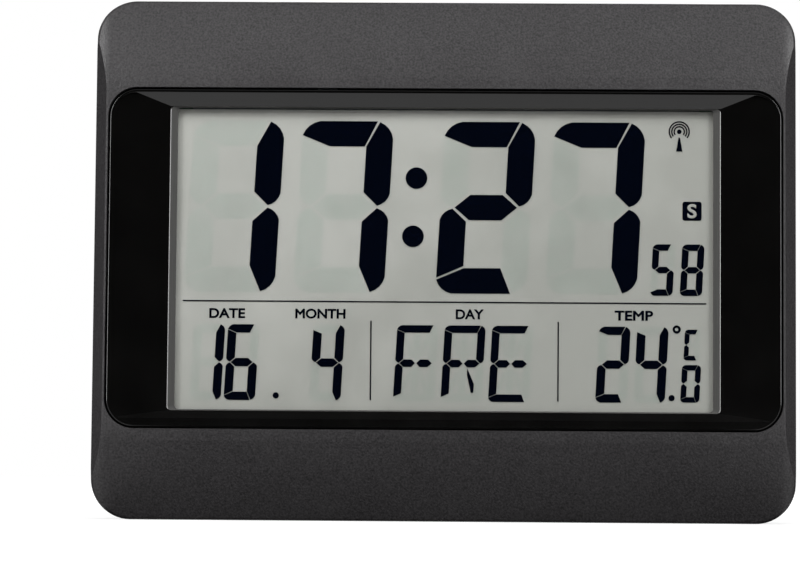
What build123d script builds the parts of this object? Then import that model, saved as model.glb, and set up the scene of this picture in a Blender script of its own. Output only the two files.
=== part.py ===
"""Digital clock for hanging on a wall or standing on a table, as an assembly of separate pieces.

X runs to the right of the display, Y from the front to the wall, Z up. Lengths are in millimetres.
"""

from build123d import *
import math
import os

os.makedirs("parts", exist_ok=True)

# Cuts run past the faces that they open by this much
overrun = 1

# Case
case_width = 215
case_height = 160
case_depth = 30
corner_radius = 12
wall = 2.2
rear_wall = 2
front_depth = 18
cap_drop = 6.9
cap_bulge = 0.85
cap_blend_radius = 40
cap_shoulder = 0.4
cap_end_radius = 10
cap_end_overhang = 5.8
cap_edge_radius = 1.2
bevel_angle = 43
bevel_reach = 3.8
rear_edge_radius = 3
tongue_depth = 2
tongue_inset = 1.1
tongue_clearance = 0.15

# Opening in the frame, and the bezel that fills it
opening_side_margin = 4.1
upper_cap_height = 27.6
lower_cap_height = 27.8
opening_radius = 9
opening_wall_depth = 6.8
bezel_gap = 0.4
bezel_recess = 0.8
bezel_lip = 1
bezel_edge_radius = 0.5
facet_depth = 1.8
facet_wall = 2.6
skirt_wall = 1.6
skirt_depth = 9.2
facet_side_width = 17.6
facet_end_height = 4.2
facet_top_reach = 6.9
facet_bottom_reach = 2.4
window_radius = 1.2
window_wall = 1
window_side_taper = 2.2
window_end_taper = 0.4
lens_land = 3

# Display layers, from the front
lens_margin = 2.6
lens_thickness = 0.5
layer_gap = 0.1
polariser_thickness = 0.2
polariser_margin = 0.8
glass_thickness = 0.5
segment_thickness = 0.1
segment_clearance = 0.02
reflector_thickness = 0.24
contact_ledge = 3.2

# Digits, signs and lines of the display. A digit's shares are its width and stroke in window widths,
# and its height in window heights.
digit_slant_angle = 3
big_digit_size_shares = (0.1653, 0.0462, 0.5666)
second_digit_size_shares = (0.0403, 0.01167, 0.1691)
date_digit_size_shares = (0.0569, 0.0151, 0.2484)
letter_size_shares = (0.0741, 0.0135, 0.2495)
tenth_digit_size_shares = (0.0344, 0.00983, 0.1226)
unit_size_shares = (0.0281, 0.0083, 0.1004)
colon_diameter_share = 0.0394
point_diameter_share = 0.01126
degree_diameter_share = 0.0148
degree_stroke_share = 0.00444
rule_thickness = 0.4
rule_margin = 4.2

# Places of the display's signs, as shares of the window's width and height from its middle
big_digit_shares = (-0.3833, -0.1842, 0.0746, 0.2742)
big_row_share = 0.1728
colon_share = -0.0547
colon_rise_share = 0.0962
second_digit_shares = (0.3963, 0.4497)
second_row_share = -0.0293
lower_row_share = -0.3404
date_digit_shares = (-0.4289, -0.3667)
month_digit_share = -0.2115
letter_shares = (-0.0509, 0.0353, 0.1214)
warmth_digit_shares = (0.3066, 0.3756)
tenth_digit_share = 0.4473
tenth_row_share = -0.4017
unit_share = 0.4497
unit_row_share = -0.2748
point_shares = (-0.3039, 0.4129)
point_row_share = -0.4487
degree_share = 0.4218
degree_row_share = -0.2241
rule_row_share = -0.1395
column_rule_shares = (-0.1324, 0.2073)
column_rule_row_share = -0.332
column_rule_height_share = 0.26

# Tray behind the display, and the screw posts of the bezel
holder_thickness = 1
holder_border = 1.2
holder_short = 4.9
holder_ear_width = 14
holder_ear_height = 10
post_radius = 3
post_inset = 9.35
holder_post_rise = 10.5
holder_post_drop = 13
board_post_inset = 5
bezel_ear_width = 14
bezel_ear_height = 9
bezel_ear_thickness = 1.8
bezel_screw_inset = 32.55
bezel_screw_rise = 5.2
bezel_post_radius = 3

# Boards and what sits on them
board_thickness = 1.6
main_board_side = 4
main_board_height = 30
main_board_rise = 0.5
main_board_gap = 6.12
strip_side_inset = 9
strip_height = 2.4
strip_inset = 0.4
chip_radius = 7
chip_rise = 2
chip_place = -18
crystal_radius = 1.55
crystal_length = 6.2
crystal_place = -38
key_board_width = 22
key_board_height = 66
key_board_end = 12
key_screw_inset = 4
small_board_thickness = 1.2
receiver_width = 26
receiver_height = 12
receiver_place = -37
receiver_front = 6
receiver_screw_inset = 3.4
thermistor_radius = 1.5
thermistor_lead_radius = 0.3
thermistor_lead_length = 3
thermistor_lead_pitch = 1.6

# Time signal aerial
aerial_drop = 13.5
aerial_depth = 4
rod_radius = 4
rod_start = 22
rod_end_gap = 13
coil_radius = 6.5
coil_length = 20
coil_clearance = 0.05
saddle_thickness = 3
saddle_height = 12
saddle_inset = 5
saddle_grip = 1
saddle_clearance = 0.1

# Flat cables and round leads
cable_thickness = 0.6
key_cable_width = 10
receiver_cable_width = 6
cable_bend = 1.2
lead_radius = 0.7
lead_bend = 2
antenna_lead_first_bend = 8
antenna_lead_second_bend = 25
antenna_lead_sweep = 12
positive_lead_gap = 8
negative_lead_gap = 11
positive_lead_rise = 4
negative_lead_rise = 8
battery_lead_depth = 2.5
battery_lead_sweep = 20

# Rear buttons
button_side_margin = 41.5
button_count = 4
button_pitch = 14
button_drop = 32
button_width = 11
button_height = 6.4
button_corner = 2
button_gap = 0.3
button_flange = 1.2
button_flange_thickness = 1.2
button_sink = 0.3
button_edge_radius = 0.5
button_stem_radius = 2
button_stem_length = 0.6
button_free_gap = 0.65
panel_margin = 4
panel_depth = 1.4
panel_corner = 3
switch_width = 6
switch_body = 3.5
switch_plunger_radius = 1.75
switch_plunger = 0.8

# Batteries and their compartment
cell_radius = 7.1
cell_length = 49.3
cell_nub_radius = 2.7
cell_nub = 1.2
cell_pitch = 15
cell_end_radius = 0.8
box_wall = 1.1
box_side_margin = 7.7
box_drop = 22
box_clearance = 0.5
box_front_gap = 5.25
collar_wall = 1.2
contact_thickness = 0.4
contact_size = 10
contact_edge = 1
tab_width = 4
tab_reach = 2.8
tab_clearance = 0.2
spring_length = 5.5
spring_turns = 4
spring_base_radius = 4.6
spring_tip_radius = 3.4
spring_wire_radius = 0.4
spring_sink = 0.2
door_thickness = 2
door_rail = 1.2
door_rail_thickness = 0.9
door_gap = 0.25
door_grip_count = 5
door_grip_pitch = 2.4
door_grip_width = 1
door_grip_depth = 0.5
door_grip_length = 14

# Fold-out stand
stand_width = 50
stand_foot_width = 42
stand_thickness = 3
stand_foot = 3.9
stand_gap = 0.5
stand_corner = 4
stand_sink = 0.1
stand_axis_rise = 17
stand_barrel_radius = 3.2
stand_pin_radius = 1.25
stand_pin_clearance = 0.1
stand_pin_grip = 1.6
stand_barrel_gap = 0.4
stand_window_width = 18
stand_window_height = 56
stand_window_rise = 4
stand_floor_gap = 0.3
grip_width = 9
grip_height = 16
grip_bottom = 10

# Wall hanger
keyhole_drop = 22.5
keyhole_radius = 4.5
keyhole_slot = 4.6
keyhole_travel = 9
hanger_box_depth = 6.5
hanger_box_wall = 1.2
hanger_box_margin = 1.8

# Vents beside the thermistor
vent_count = 3
vent_width = 16
vent_height = 1.6
vent_pitch = 3.5
vent_drop = 6

# Screws
case_screw_radius = 1.45
case_screw_head = 2.75
case_screw_head_height = 1.8
case_screw_length = 10
case_screw_inset = 12.5
case_screw_extra_place = 46
case_post_radius = 3.5
well_wall = 1.4
well_floor = 2
well_gap = 0.1
well_clearance = 0.5
small_screw_radius = 1.1
small_screw_head = 2.1
small_screw_head_height = 1.4
small_screw_length = 5
holder_screw_length = 3
screw_clearance = 0.1
screw_hole_spare = 0.8
cross_width = 0.7
cross_depth = 0.8

# Levels along Y and Z that pieces share
y_front = -case_depth / 2
y_rear = case_depth / 2
y_part = y_front + front_depth
y_inner = y_rear - rear_wall
z_case = case_height / 2
rim_bottom = lower_cap_height
rim_top = case_height - upper_cap_height
z_window = (rim_bottom + rim_top) / 2
opening_width = case_width - 2 * opening_side_margin
opening_height = rim_top - rim_bottom

y_rim = y_front + bezel_recess
y_window = y_rim + facet_depth
y_seat = y_window + window_wall
y_skirt = y_rim + skirt_depth
bezel_width = opening_width - 2 * bezel_gap
bezel_height = opening_height - 2 * bezel_gap
bezel_radius = opening_radius - bezel_gap
rim_width = bezel_width - 2 * bezel_lip
rim_height = bezel_height - 2 * bezel_lip
rim_radius = bezel_radius - bezel_lip
window_width = rim_width - 2 * facet_side_width
window_height = rim_height - 2 * facet_end_height

y_polariser = y_seat + lens_thickness + layer_gap
y_front_glass = y_polariser + polariser_thickness
y_segments = y_front_glass + glass_thickness + segment_clearance
y_rear_glass = y_segments + segment_thickness + segment_clearance
y_reflector = y_rear_glass + glass_thickness
y_holder = y_reflector + reflector_thickness + layer_gap
y_main_board = y_holder + holder_thickness + main_board_gap
y_main_rear = y_main_board + board_thickness
lens_width = window_width + 2 * lens_margin
lens_height = window_height + 2 * lens_margin
glass_top = z_window + lens_height / 2
strip_length = lens_width - 2 * strip_side_inset

post_place = bezel_width / 2 - post_inset
bezel_screw_place = rim_width / 2 - bezel_screw_inset
main_board_width = 2 * (post_place + main_board_side)
main_board_bottom = glass_top + main_board_rise - main_board_height
board_post_heights = (
    main_board_bottom + board_post_inset,
    main_board_bottom + main_board_height - board_post_inset,
)
holder_post_heights = (rim_bottom + holder_post_rise, main_board_bottom - holder_post_drop)

button_place = button_side_margin - case_width / 2
button_heights = [z_case - button_drop + step * button_pitch for step in range(button_count)]
key_board_bottom = button_heights[0] - key_board_end
vent_bottom = key_board_bottom - vent_drop
y_panel = y_rear - panel_depth
y_panel_inner = y_panel - rear_wall
y_stem = y_panel_inner - button_flange_thickness - button_stem_length
y_key_rear = y_stem - button_free_gap - switch_plunger - switch_body
y_key_board = y_key_rear - small_board_thickness
key_board_middle = key_board_bottom + key_board_height / 2
y_receiver_rear = receiver_front + small_board_thickness

y_box = y_holder + holder_thickness + box_front_gap
box_length = contact_thickness + spring_length + cell_length + cell_nub + contact_thickness
box_height = cell_pitch + 2 * cell_radius + 2 * box_clearance
box_end = case_width / 2 - box_side_margin
box_start = box_end - box_length
box_middle = z_case - box_drop
positive_lead_place = box_start - positive_lead_gap
negative_lead_place = box_start - negative_lead_gap
y_cells = y_box + box_wall + box_clearance / 2 + cell_radius
cell_heights = (box_middle - cell_pitch / 2, box_middle + cell_pitch / 2)

stand_axis_height = z_case + stand_axis_rise
y_stand_axis = y_rear - stand_sink - stand_barrel_radius
y_stand_front = y_rear - stand_sink - stand_thickness
y_recess = y_stand_front - stand_floor_gap
recess_width = stand_width + 2 * stand_gap
recess_bottom = stand_foot - stand_gap
recess_top = stand_axis_height + stand_barrel_radius + stand_barrel_gap

case_screw_x = case_width / 2 - case_screw_inset
case_screw_top = case_height - case_screw_inset
aerial_height = case_height - aerial_drop
rod_length = case_screw_x - rod_end_gap - rod_start
case_screw_places = [(side * x, z) for side in (-1, 1) for x, z in (
    (case_screw_x, case_screw_inset),
    (case_screw_x, case_screw_top),
    (case_screw_extra_place, case_screw_inset),
)]
bezel_screw_places = [(side * bezel_screw_place, z) for side in (-1, 1) for z in (
    rim_bottom - bezel_screw_rise,
    rim_top + bezel_screw_rise,
)]
holder_post_places = [(side * post_place, z) for side in (-1, 1) for z in holder_post_heights]
board_post_places = [(side * post_place, z) for side in (-1, 1) for z in board_post_heights]
key_screw_places = [(button_place, z) for z in (
    key_board_bottom + key_screw_inset,
    key_board_bottom + key_board_height - key_screw_inset,
)]
receiver_screw_places = [
    (receiver_place + side * (receiver_width / 2 - receiver_screw_inset), aerial_height)
    for side in (-1, 1)
]


def facing(y):
    """Plane at depth y whose sketch runs right along X and up along Z."""
    return Plane.XZ.offset(-y)


def block(x, z, width, height, y_near, y_far, radius=0, mode=Mode.ADD):
    """A block between two depths, with its middle at x and z."""
    with BuildSketch(facing(y_near)) as outline:
        with Locations((x, z)):
            if radius:
                RectangleRounded(width, height, radius)
            else:
                Rectangle(width, height)
    extrude(outline.sketch, amount=y_near - y_far, mode=mode)


def post(x, z, radius, y_near, y_far, mode=Mode.ADD):
    """A round post between two depths."""
    with BuildSketch(facing(y_near)) as outline:
        with Locations((x, z)):
            Circle(radius)
    extrude(outline.sketch, amount=y_near - y_far, mode=mode)


def bar(y, z, radius, x_from, x_to, mode=Mode.ADD):
    """A round bar along X."""
    with BuildSketch(Plane.YZ.offset(x_from)) as outline:
        with Locations((y, z)):
            Circle(radius)
    extrude(outline.sketch, amount=x_to - x_from, mode=mode)


def funnel(near, far, y_near, y_far, mode=Mode.ADD):
    """Straight-sided loft between two rounded rectangles, given as width, height and corner radius."""
    sections = []
    for y, (width, height, radius) in ((y_near, near), (y_far, far)):
        with BuildSketch(facing(y)) as outline:
            with Locations((0, z_window)):
                RectangleRounded(width, height, radius)
        sections.append(outline.sketch)
    loft(sections, ruled=True, mode=mode)


def case_form(builder, inset, back, edge_radius):
    """The case front, drawn in by inset: sloped caps, rounded cap ends and bevelled sides."""
    front = y_front + inset
    half = case_width / 2 - inset
    bottom = inset
    top = case_height - inset
    low = bottom - overrun
    high = top + overrun
    with BuildSketch(Plane.YZ) as side:
        with BuildLine():
            lower = Line((back, low), (front + cap_drop, low))
            lower_cap = SagittaArc(lower @ 1, (front, rim_bottom - cap_shoulder), cap_bulge)
            middle = Line(lower_cap @ 1, (front, rim_top + cap_shoulder))
            upper_cap = SagittaArc(middle @ 1, (front + cap_drop, high), cap_bulge)
            upper = Line(upper_cap @ 1, (back, high))
            Line(upper @ 1, lower @ 0)
        make_face()
        fillet(side.vertices().group_by(Axis.X)[0], cap_blend_radius)
    extrude(side.sketch, amount=half + cap_end_overhang, both=True)
    ends = builder.edges().filter_by(
        lambda e: e.bounding_box().size.X < segment_clearance and e.center().Y < front + cap_drop
    )
    fillet(ends, cap_end_radius - inset)

    with BuildSketch(facing(back)) as outline:
        with Locations((0, z_case)):
            RectangleRounded(2 * half, top - bottom, corner_radius - inset)
    extrude(outline.sketch, amount=back - front + overrun, mode=Mode.INTERSECT)
    if edge_radius:
        straight = builder.edges().filter_by(Axis.X).filter_by(
            lambda e: e.center().Y < front + cap_drop
            and min(e.center().Z - bottom, top - e.center().Z) < edge_radius
        )
        fillet(straight + builder.edges().filter_by(GeomType.BSPLINE), edge_radius)

    lean = math.tan(math.radians(bevel_angle))
    start = y_front + bevel_reach + inset * math.tan(math.radians(bevel_angle / 2))
    tip = front - overrun
    with BuildSketch(Plane.XY) as wedges:
        for side_sign in (-1, 1):
            with BuildLine():
                Polyline(
                    (side_sign * half, start),
                    (side_sign * (half - lean * (start - tip)), tip),
                    (side_sign * (half + overrun), tip),
                    (side_sign * (half + overrun), start),
                    close=True,
                )
            make_face()
    extrude(wedges.sketch, amount=case_height, mode=Mode.SUBTRACT)


def screw(x, z, y_seat_face, radius, head, head_height, length, way=1):
    """A cross-head screw seated at a depth. Its head stands towards the wall, or the front for way -1."""
    y_top = y_seat_face + way * head_height
    post(x, z, radius, y_seat_face - way * length, y_seat_face)
    post(x, z, head, y_seat_face, y_top)
    for width, height in ((head, cross_width), (cross_width, head)):
        block(x, z, width, height, y_top - way * cross_depth, y_top + way * overrun, mode=Mode.SUBTRACT)


def small_screw(x, z, y_seat_face, way=1, length=small_screw_length):
    """The screw that holds boards, tray and bezel."""
    screw(
        x, z, y_seat_face, small_screw_radius, small_screw_head,
        small_screw_head_height, length, way,
    )


def finish(builder, name):
    """Labels a piece and writes it."""
    builder.part.label = name
    export_step(builder.part, f"parts/{name}.step")


# Front frame: the shell with its caps, the opening for the bezel and the screw posts
with BuildPart() as frame_hollow:
    case_form(frame_hollow, wall, y_part + overrun, 0)
    for x, z in case_screw_places:
        post(x, z, case_post_radius, y_front, y_part, mode=Mode.SUBTRACT)
    y_bezel_post = y_skirt - bezel_ear_thickness - well_gap
    for x, z in bezel_screw_places:
        post(x, z, bezel_post_radius, y_front, y_bezel_post, mode=Mode.SUBTRACT)

with BuildPart() as front_frame:
    case_form(front_frame, 0, y_part, cap_edge_radius)
    add(frame_hollow.part, mode=Mode.SUBTRACT)
    block(
        0, z_window, opening_width, opening_height, y_front - overrun,
        y_front + opening_wall_depth, opening_radius, mode=Mode.SUBTRACT,
    )
    block(
        0, z_case, case_width - 2 * tongue_inset, case_height - 2 * tongue_inset,
        y_part - tongue_depth - tongue_clearance, y_part + overrun, corner_radius - tongue_inset,
        mode=Mode.SUBTRACT,
    )
    for x, z in case_screw_places:
        post(
            x, z, case_screw_radius + screw_clearance,
            y_part - case_screw_length - screw_hole_spare, y_part + overrun, mode=Mode.SUBTRACT,
        )
    for x, z in bezel_screw_places:
        post(
            x, z, small_screw_radius + screw_clearance,
            y_skirt - bezel_ear_thickness - small_screw_length, y_bezel_post + overrun,
            mode=Mode.SUBTRACT,
        )
finish(front_frame, "front_frame")

# Bezel: rim, skirt and four facets that fall to the window
with BuildPart() as display_bezel:
    block(0, z_window, bezel_width, bezel_height, y_rim, y_skirt, bezel_radius)
    fillet(display_bezel.faces().sort_by(Axis.Y)[0].edges(), bezel_edge_radius)
    inner_width = bezel_width - 2 * skirt_wall
    inner_height = bezel_height - 2 * skirt_wall
    inner_radius = bezel_radius - skirt_wall
    block(
        0, z_window, inner_width, inner_height, y_rim + facet_wall, y_skirt + overrun,
        inner_radius, mode=Mode.SUBTRACT,
    )
    window = (window_width, window_height, window_radius)
    land = (window_width + 2 * lens_land, window_height + 2 * lens_land, window_radius + lens_land)
    funnel((inner_width, inner_height, inner_radius), land, y_rim + facet_wall, y_seat)
    for places, y_end, length in (
        (holder_post_places, y_holder, holder_screw_length),
        (board_post_places, y_main_board, small_screw_length),
    ):
        for x, z in places:
            along = (rim_width / 2 - abs(x)) / (rim_width / 2 - window_width / 2)
            y_root = y_rim + facet_depth * along + facet_wall / 2
            post(x, z, post_radius, y_root, y_end)
            post(
                x, z, small_screw_radius + screw_clearance,
                y_end - length, y_end + overrun, mode=Mode.SUBTRACT,
            )
    for x, z in bezel_screw_places:
        ear_side = math.copysign(1, z - z_window)
        ear_middle = z - ear_side * (bezel_screw_rise + bezel_gap - bezel_ear_height / 2)
        y_ear = y_skirt - bezel_ear_thickness
        block(x, ear_middle, bezel_ear_width, bezel_ear_height, y_ear, y_skirt)
        post(
            x, z, small_screw_radius + screw_clearance, y_ear - overrun, y_skirt + overrun,
            mode=Mode.SUBTRACT,
        )
    with BuildPart(mode=Mode.PRIVATE) as facets:
        facet_sections = []
        for y, width, below, above in (
            (y_rim, rim_width, facet_bottom_reach, facet_top_reach), (y_window, window_width, 0, 0)
        ):
            with BuildSketch(facing(y)) as section:
                with Locations((0, z_window + (above - below) / 2)):
                    Rectangle(width, window_height + below + above)
            facet_sections.append(section.sketch)
        loft(facet_sections, ruled=True)
        block(
            0, z_window, rim_width, rim_height, y_rim, y_window, rim_radius, mode=Mode.INTERSECT
        )
    add(facets.part, mode=Mode.SUBTRACT)
    sight = (
        window_width - 2 * window_side_taper,
        window_height - 2 * window_end_taper,
        window_radius,
    )
    funnel(window, sight, y_window, y_seat, mode=Mode.SUBTRACT)
finish(display_bezel, "display_bezel")

# Lens and display layers
with BuildPart() as display_lens:
    block(0, z_window, lens_width, lens_height, y_seat, y_seat + lens_thickness, window_radius)
finish(display_lens, "display_lens")

with BuildPart() as lcd_front_polariser:
    block(
        0, z_window, lens_width - 2 * polariser_margin, lens_height - 2 * polariser_margin,
        y_polariser, y_front_glass,
    )
finish(lcd_front_polariser, "lcd_front_polariser")

with BuildPart() as lcd_front_glass:
    block(0, z_window, lens_width, lens_height, y_front_glass, y_front_glass + glass_thickness)
finish(lcd_front_glass, "lcd_front_glass")

rear_glass_height = lens_height - contact_ledge
z_rear_glass = z_window - contact_ledge / 2
with BuildPart() as lcd_rear_glass:
    block(0, z_rear_glass, lens_width, rear_glass_height, y_rear_glass, y_reflector)
finish(lcd_rear_glass, "lcd_rear_glass")

with BuildPart() as lcd_reflector:
    block(
        0, z_rear_glass, lens_width - 2 * polariser_margin, rear_glass_height - 2 * polariser_margin,
        y_reflector, y_reflector + reflector_thickness,
    )
finish(lcd_reflector, "lcd_reflector")

# Outlines of the display's segments. A point is the side of the digit's box that it is measured from,
# -1, 0 or 1, and its distance from there in strokes, first along X and then along Z.
segment_shares = {
    "a": ((-1, 0, 1, -0.56), (-1, 0.68, 1, 0), (1, -0.64, 1, 0), (1, -1.1, 1, -1), (-1, 1.1, 1, -1)),
    "b": ((1, -0.55, 1, -0.03), (1, 0, 1, -0.7), (1, 0, 0, 0.52), (1, -0.48, 0, 0.05),
          (1, -1.04, 0, 0.58), (1, -1.04, 1, -1)),
    "c": ((1, -0.48, 0, -0.05), (1, 0, 0, -0.52), (1, 0, -1, 0.62), (1, -0.56, -1, 0.04),
          (1, -1.04, -1, 1.06), (1, -1.04, 0, -0.58)),
    "d": ((-1, 0, -1, 0.54), (-1, 0.6, -1, 0), (1, -0.64, -1, 0), (1, -1.08, -1, 1), (-1, 1.06, -1, 1)),
    "e": ((-1, 0.48, 0, -0.05), (-1, 0, 0, -0.48), (-1, 0, -1, 0.62), (-1, 1.04, -1, 1.08),
          (-1, 1.04, 0, -0.56)),
    "f": ((-1, 0.48, 0, 0.05), (-1, 0, 0, 0.48), (-1, 0, 1, -0.64), (-1, 1.04, 1, -1.06),
          (-1, 1.04, 0, 0.56)),
    "g": ((-1, 0.56, 0, 0), (-1, 1.15, 0, 0.5), (1, -1.15, 0, 0.5), (1, -0.56, 0, 0),
          (1, -1.15, 0, -0.5), (-1, 1.15, 0, -0.5)),
    "left half": ((-1, 0.56, 0, 0), (-1, 1.12, 0, 0.5), (0, -0.56, 0, 0.5), (0, -0.08, 0, 0),
                  (0, -0.56, 0, -0.5), (-1, 1.12, 0, -0.5)),
    "right half": ((1, -0.56, 0, 0), (1, -1.12, 0, 0.5), (0, 0.56, 0, 0.5), (0, 0.08, 0, 0),
                   (0, 0.56, 0, -0.5), (1, -1.12, 0, -0.5)),
    "upper stem": ((0, -0.45, 1, -1.2), (0, 0.45, 1, -1.2), (0, 0.45, 0, 0.9), (0, 0, 0, 0.35),
                   (0, -0.45, 0, 0.9)),
    "lower stem": ((0, -0.45, -1, 1.2), (0, 0.45, -1, 1.2), (0, 0.45, 0, -0.9), (0, 0, 0, -0.35),
                   (0, -0.45, 0, -0.9)),
    "upper left arm": ((-1, 1.15, 1, -1.2), (-1, 1.5, 1, -1.2), (0, -0.6, 0, 1.5), (0, -0.6, 0, 0.65),
                       (-1, 1.15, 1, -2.4)),
    "upper right arm": ((1, -1.15, 1, -1.2), (1, -1.5, 1, -1.2), (0, 0.6, 0, 1.5), (0, 0.6, 0, 0.65),
                        (1, -1.15, 1, -2.4)),
    "lower left arm": ((-1, 1.15, -1, 1.2), (-1, 1.5, -1, 1.2), (0, -0.6, 0, -1.5), (0, -0.6, 0, -0.65),
                       (-1, 1.15, -1, 2.4)),
    "lower right arm": ((1, -1.15, -1, 1.2), (1, -1.5, -1, 1.2), (0, 0.6, 0, -1.5), (0, 0.6, 0, -0.65),
                        (1, -1.15, -1, 2.4)),
}
rounded_edges = {"a": (0,), "b": (0, 2), "c": (0, 2), "d": (0,), "e": (0,), "f": (0,)}
corner_bulge_share = 0.14
corner_steps = 4
seven_segments = "abcdefg"
lit_by_digit = {
    "0": "abcdef", "1": "bc", "2": "abged", "4": "fgbc", "5": "afgcd", "6": "afgedc", "7": "abc",
    "8": "abcdefg", "C": "afed",
}
letter_segments = list("abcdef") + [name for name in segment_shares if len(name) > 1]
halves = ["left half", "right half"]
lit_by_letter = {
    "F": list("aef") + halves,
    "R": list("abef") + halves + ["lower right arm"],
    "E": list("adef") + halves,
}
digit_slant = math.tan(math.radians(digit_slant_angle))

big_size, second_size, date_size, letter_size, tenth_size, unit_size = [
    (width_share * window_width, height_share * window_height, stroke_share * window_width)
    for width_share, stroke_share, height_share in (
        big_digit_size_shares, second_digit_size_shares, date_digit_size_shares,
        letter_size_shares, tenth_digit_size_shares, unit_size_shares,
    )
]
colon_radius = colon_diameter_share * window_width / 2
point_radius = point_diameter_share * window_width / 2
degree_radius = degree_diameter_share * window_width / 2
degree_hole_radius = degree_radius - degree_stroke_share * window_width

shown_digits = (
    [(sign, share, big_row_share, big_size) for sign, share in zip("1727", big_digit_shares)]
    + [(sign, share, second_row_share, second_size) for sign, share in zip("58", second_digit_shares)]
    + [(sign, share, lower_row_share, date_size) for sign, share in zip("16", date_digit_shares)]
    + [("4", month_digit_share, lower_row_share, date_size)]
    + [(sign, share, lower_row_share, date_size) for sign, share in zip("24", warmth_digit_shares)]
    + [("0", tenth_digit_share, tenth_row_share, tenth_size)]
    + [("C", unit_share, unit_row_share, unit_size)]
)
shown_letters = [
    (sign, share, lower_row_share, letter_size) for sign, share in zip("FRE", letter_shares)
]


def on_window(x_share, z_share):
    """A place on the display from its shares of the window."""
    return x_share * window_width, z_window + z_share * window_height


def segment_outline(name, width, height, stroke):
    """The points of a segment around the middle of its digit, with its outer corners rounded."""
    corners = []
    for x_side, x_strokes, z_side, z_strokes in segment_shares[name]:
        z = z_side * height / 2 + z_strokes * stroke
        x = x_side * width / 2 + x_strokes * stroke + z * digit_slant
        corners.append(Vector(x, z))
    centre = sum(corners, Vector(0, 0)) / len(corners)
    points = []
    for index, corner in enumerate(corners):
        points.append(corner)
        if index in rounded_edges.get(name, ()):
            chord = corners[(index + 1) % len(corners)] - corner
            normal = Vector(chord.Y, -chord.X)
            outward = normal if normal.dot(corner + chord / 2 - centre) > 0 else -normal
            for step in range(1, corner_steps):
                along = step / corner_steps
                rise = corner_bulge_share * 4 * along * (1 - along)
                points.append(corner + chord * along + outward * rise)
    return points


def segments(signs, all_names, lit_by_sign, lit):
    """Draws the lit or the idle segments of a row of signs."""
    for sign, x_share, z_share, (width, height, stroke) in signs:
        x_middle, z_middle = on_window(x_share, z_share)
        for name in all_names:
            if (name in lit_by_sign[sign]) != lit:
                continue
            outline = segment_outline(name, width, height, stroke)
            Polygon(*[(x_middle + p.X, z_middle + p.Y) for p in outline], align=None)


with BuildPart() as lcd_segments_on:
    with BuildSketch(facing(y_segments)):
        segments(shown_digits, seven_segments, lit_by_digit, True)
        segments(shown_letters, letter_segments, lit_by_letter, True)
        for rise in (-colon_rise_share, colon_rise_share):
            x, z = on_window(colon_share, big_row_share + rise)
            with Locations((x + rise * window_height * digit_slant, z)):
                Circle(colon_radius)
        for share in point_shares:
            with Locations(on_window(share, point_row_share)):
                Circle(point_radius)
        with Locations(on_window(degree_share, degree_row_share)):
            Circle(degree_radius)
            Circle(degree_hole_radius, mode=Mode.SUBTRACT)
        with Locations(on_window(0, rule_row_share)):
            Rectangle(window_width - 2 * rule_margin, rule_thickness)
        for share in column_rule_shares:
            with Locations(on_window(share, column_rule_row_share)):
                Rectangle(rule_thickness, column_rule_height_share * window_height)
    extrude(amount=-segment_thickness)
finish(lcd_segments_on, "lcd_segments_on")

with BuildPart() as lcd_segments_off:
    with BuildSketch(facing(y_segments)):
        segments(shown_digits, seven_segments, lit_by_digit, False)
        segments(shown_letters, letter_segments, lit_by_letter, False)
    extrude(amount=-segment_thickness)
finish(lcd_segments_off, "lcd_segments_off")

# Tray that presses the display layers to the bezel
with BuildPart() as lcd_holder:
    y_holder_rear = y_holder + holder_thickness
    holder_width = lens_width + 2 * (layer_gap + holder_border)
    holder_height = lens_height - holder_short
    block(0, z_window - holder_short / 2, holder_width, holder_height, y_holder, y_holder_rear)
    for side in (-1, 1):
        border_place = side * (holder_width - holder_border) / 2
        block(
            border_place, z_window - holder_short / 2, holder_border, holder_height,
            y_polariser, y_holder,
        )
    for x, z in holder_post_places:
        reach = holder_ear_width / 2 + abs(x) - holder_width / 2
        ear_place = math.copysign(holder_width / 2 + reach / 2, x)
        block(ear_place, z, reach, holder_ear_height, y_holder, y_holder_rear)
        post(
            x, z, small_screw_radius + screw_clearance, y_holder - overrun, y_holder_rear + overrun,
            mode=Mode.SUBTRACT,
        )
finish(lcd_holder, "lcd_holder")

with BuildPart() as zebra_strip:
    block(
        0, glass_top - strip_inset - strip_height / 2, strip_length, strip_height,
        y_front_glass + glass_thickness, y_main_board,
    )
finish(zebra_strip, "zebra_strip")

# Main board with its chip and crystal
main_board_middle = main_board_bottom + main_board_height / 2
with BuildPart() as main_pcb:
    block(0, main_board_middle, main_board_width, main_board_height, y_main_board, y_main_rear)
    for x, z in board_post_places:
        post(
            x, z, small_screw_radius + screw_clearance, y_main_board - overrun, y_main_rear + overrun,
            mode=Mode.SUBTRACT,
        )
finish(main_pcb, "main_pcb")

with BuildPart() as controller_chip:
    with BuildSketch(Plane.XY.offset(main_board_middle)):
        with BuildLine():
            base = Line((chip_place, y_main_rear), (chip_place + chip_radius, y_main_rear))
            dome = ThreePointArc(
                base @ 1,
                (chip_place + chip_radius * math.sqrt(3) / 2, y_main_rear + chip_rise / 2),
                (chip_place + chip_radius / 2, y_main_rear + chip_rise),
            )
            flat = Line(dome @ 1, (chip_place, y_main_rear + chip_rise))
            Line(flat @ 1, base @ 0)
        make_face()
    revolve(axis=Axis((chip_place, 0, main_board_middle), (0, 1, 0)))
finish(controller_chip, "controller_chip")

with BuildPart() as quartz_crystal:
    bar(
        y_main_rear + crystal_radius, main_board_middle, crystal_radius,
        crystal_place - crystal_length / 2, crystal_place + crystal_length / 2,
    )
    fillet(quartz_crystal.faces().sort_by(Axis.X)[-1].edges(), crystal_radius / 4)
finish(quartz_crystal, "quartz_crystal")

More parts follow.
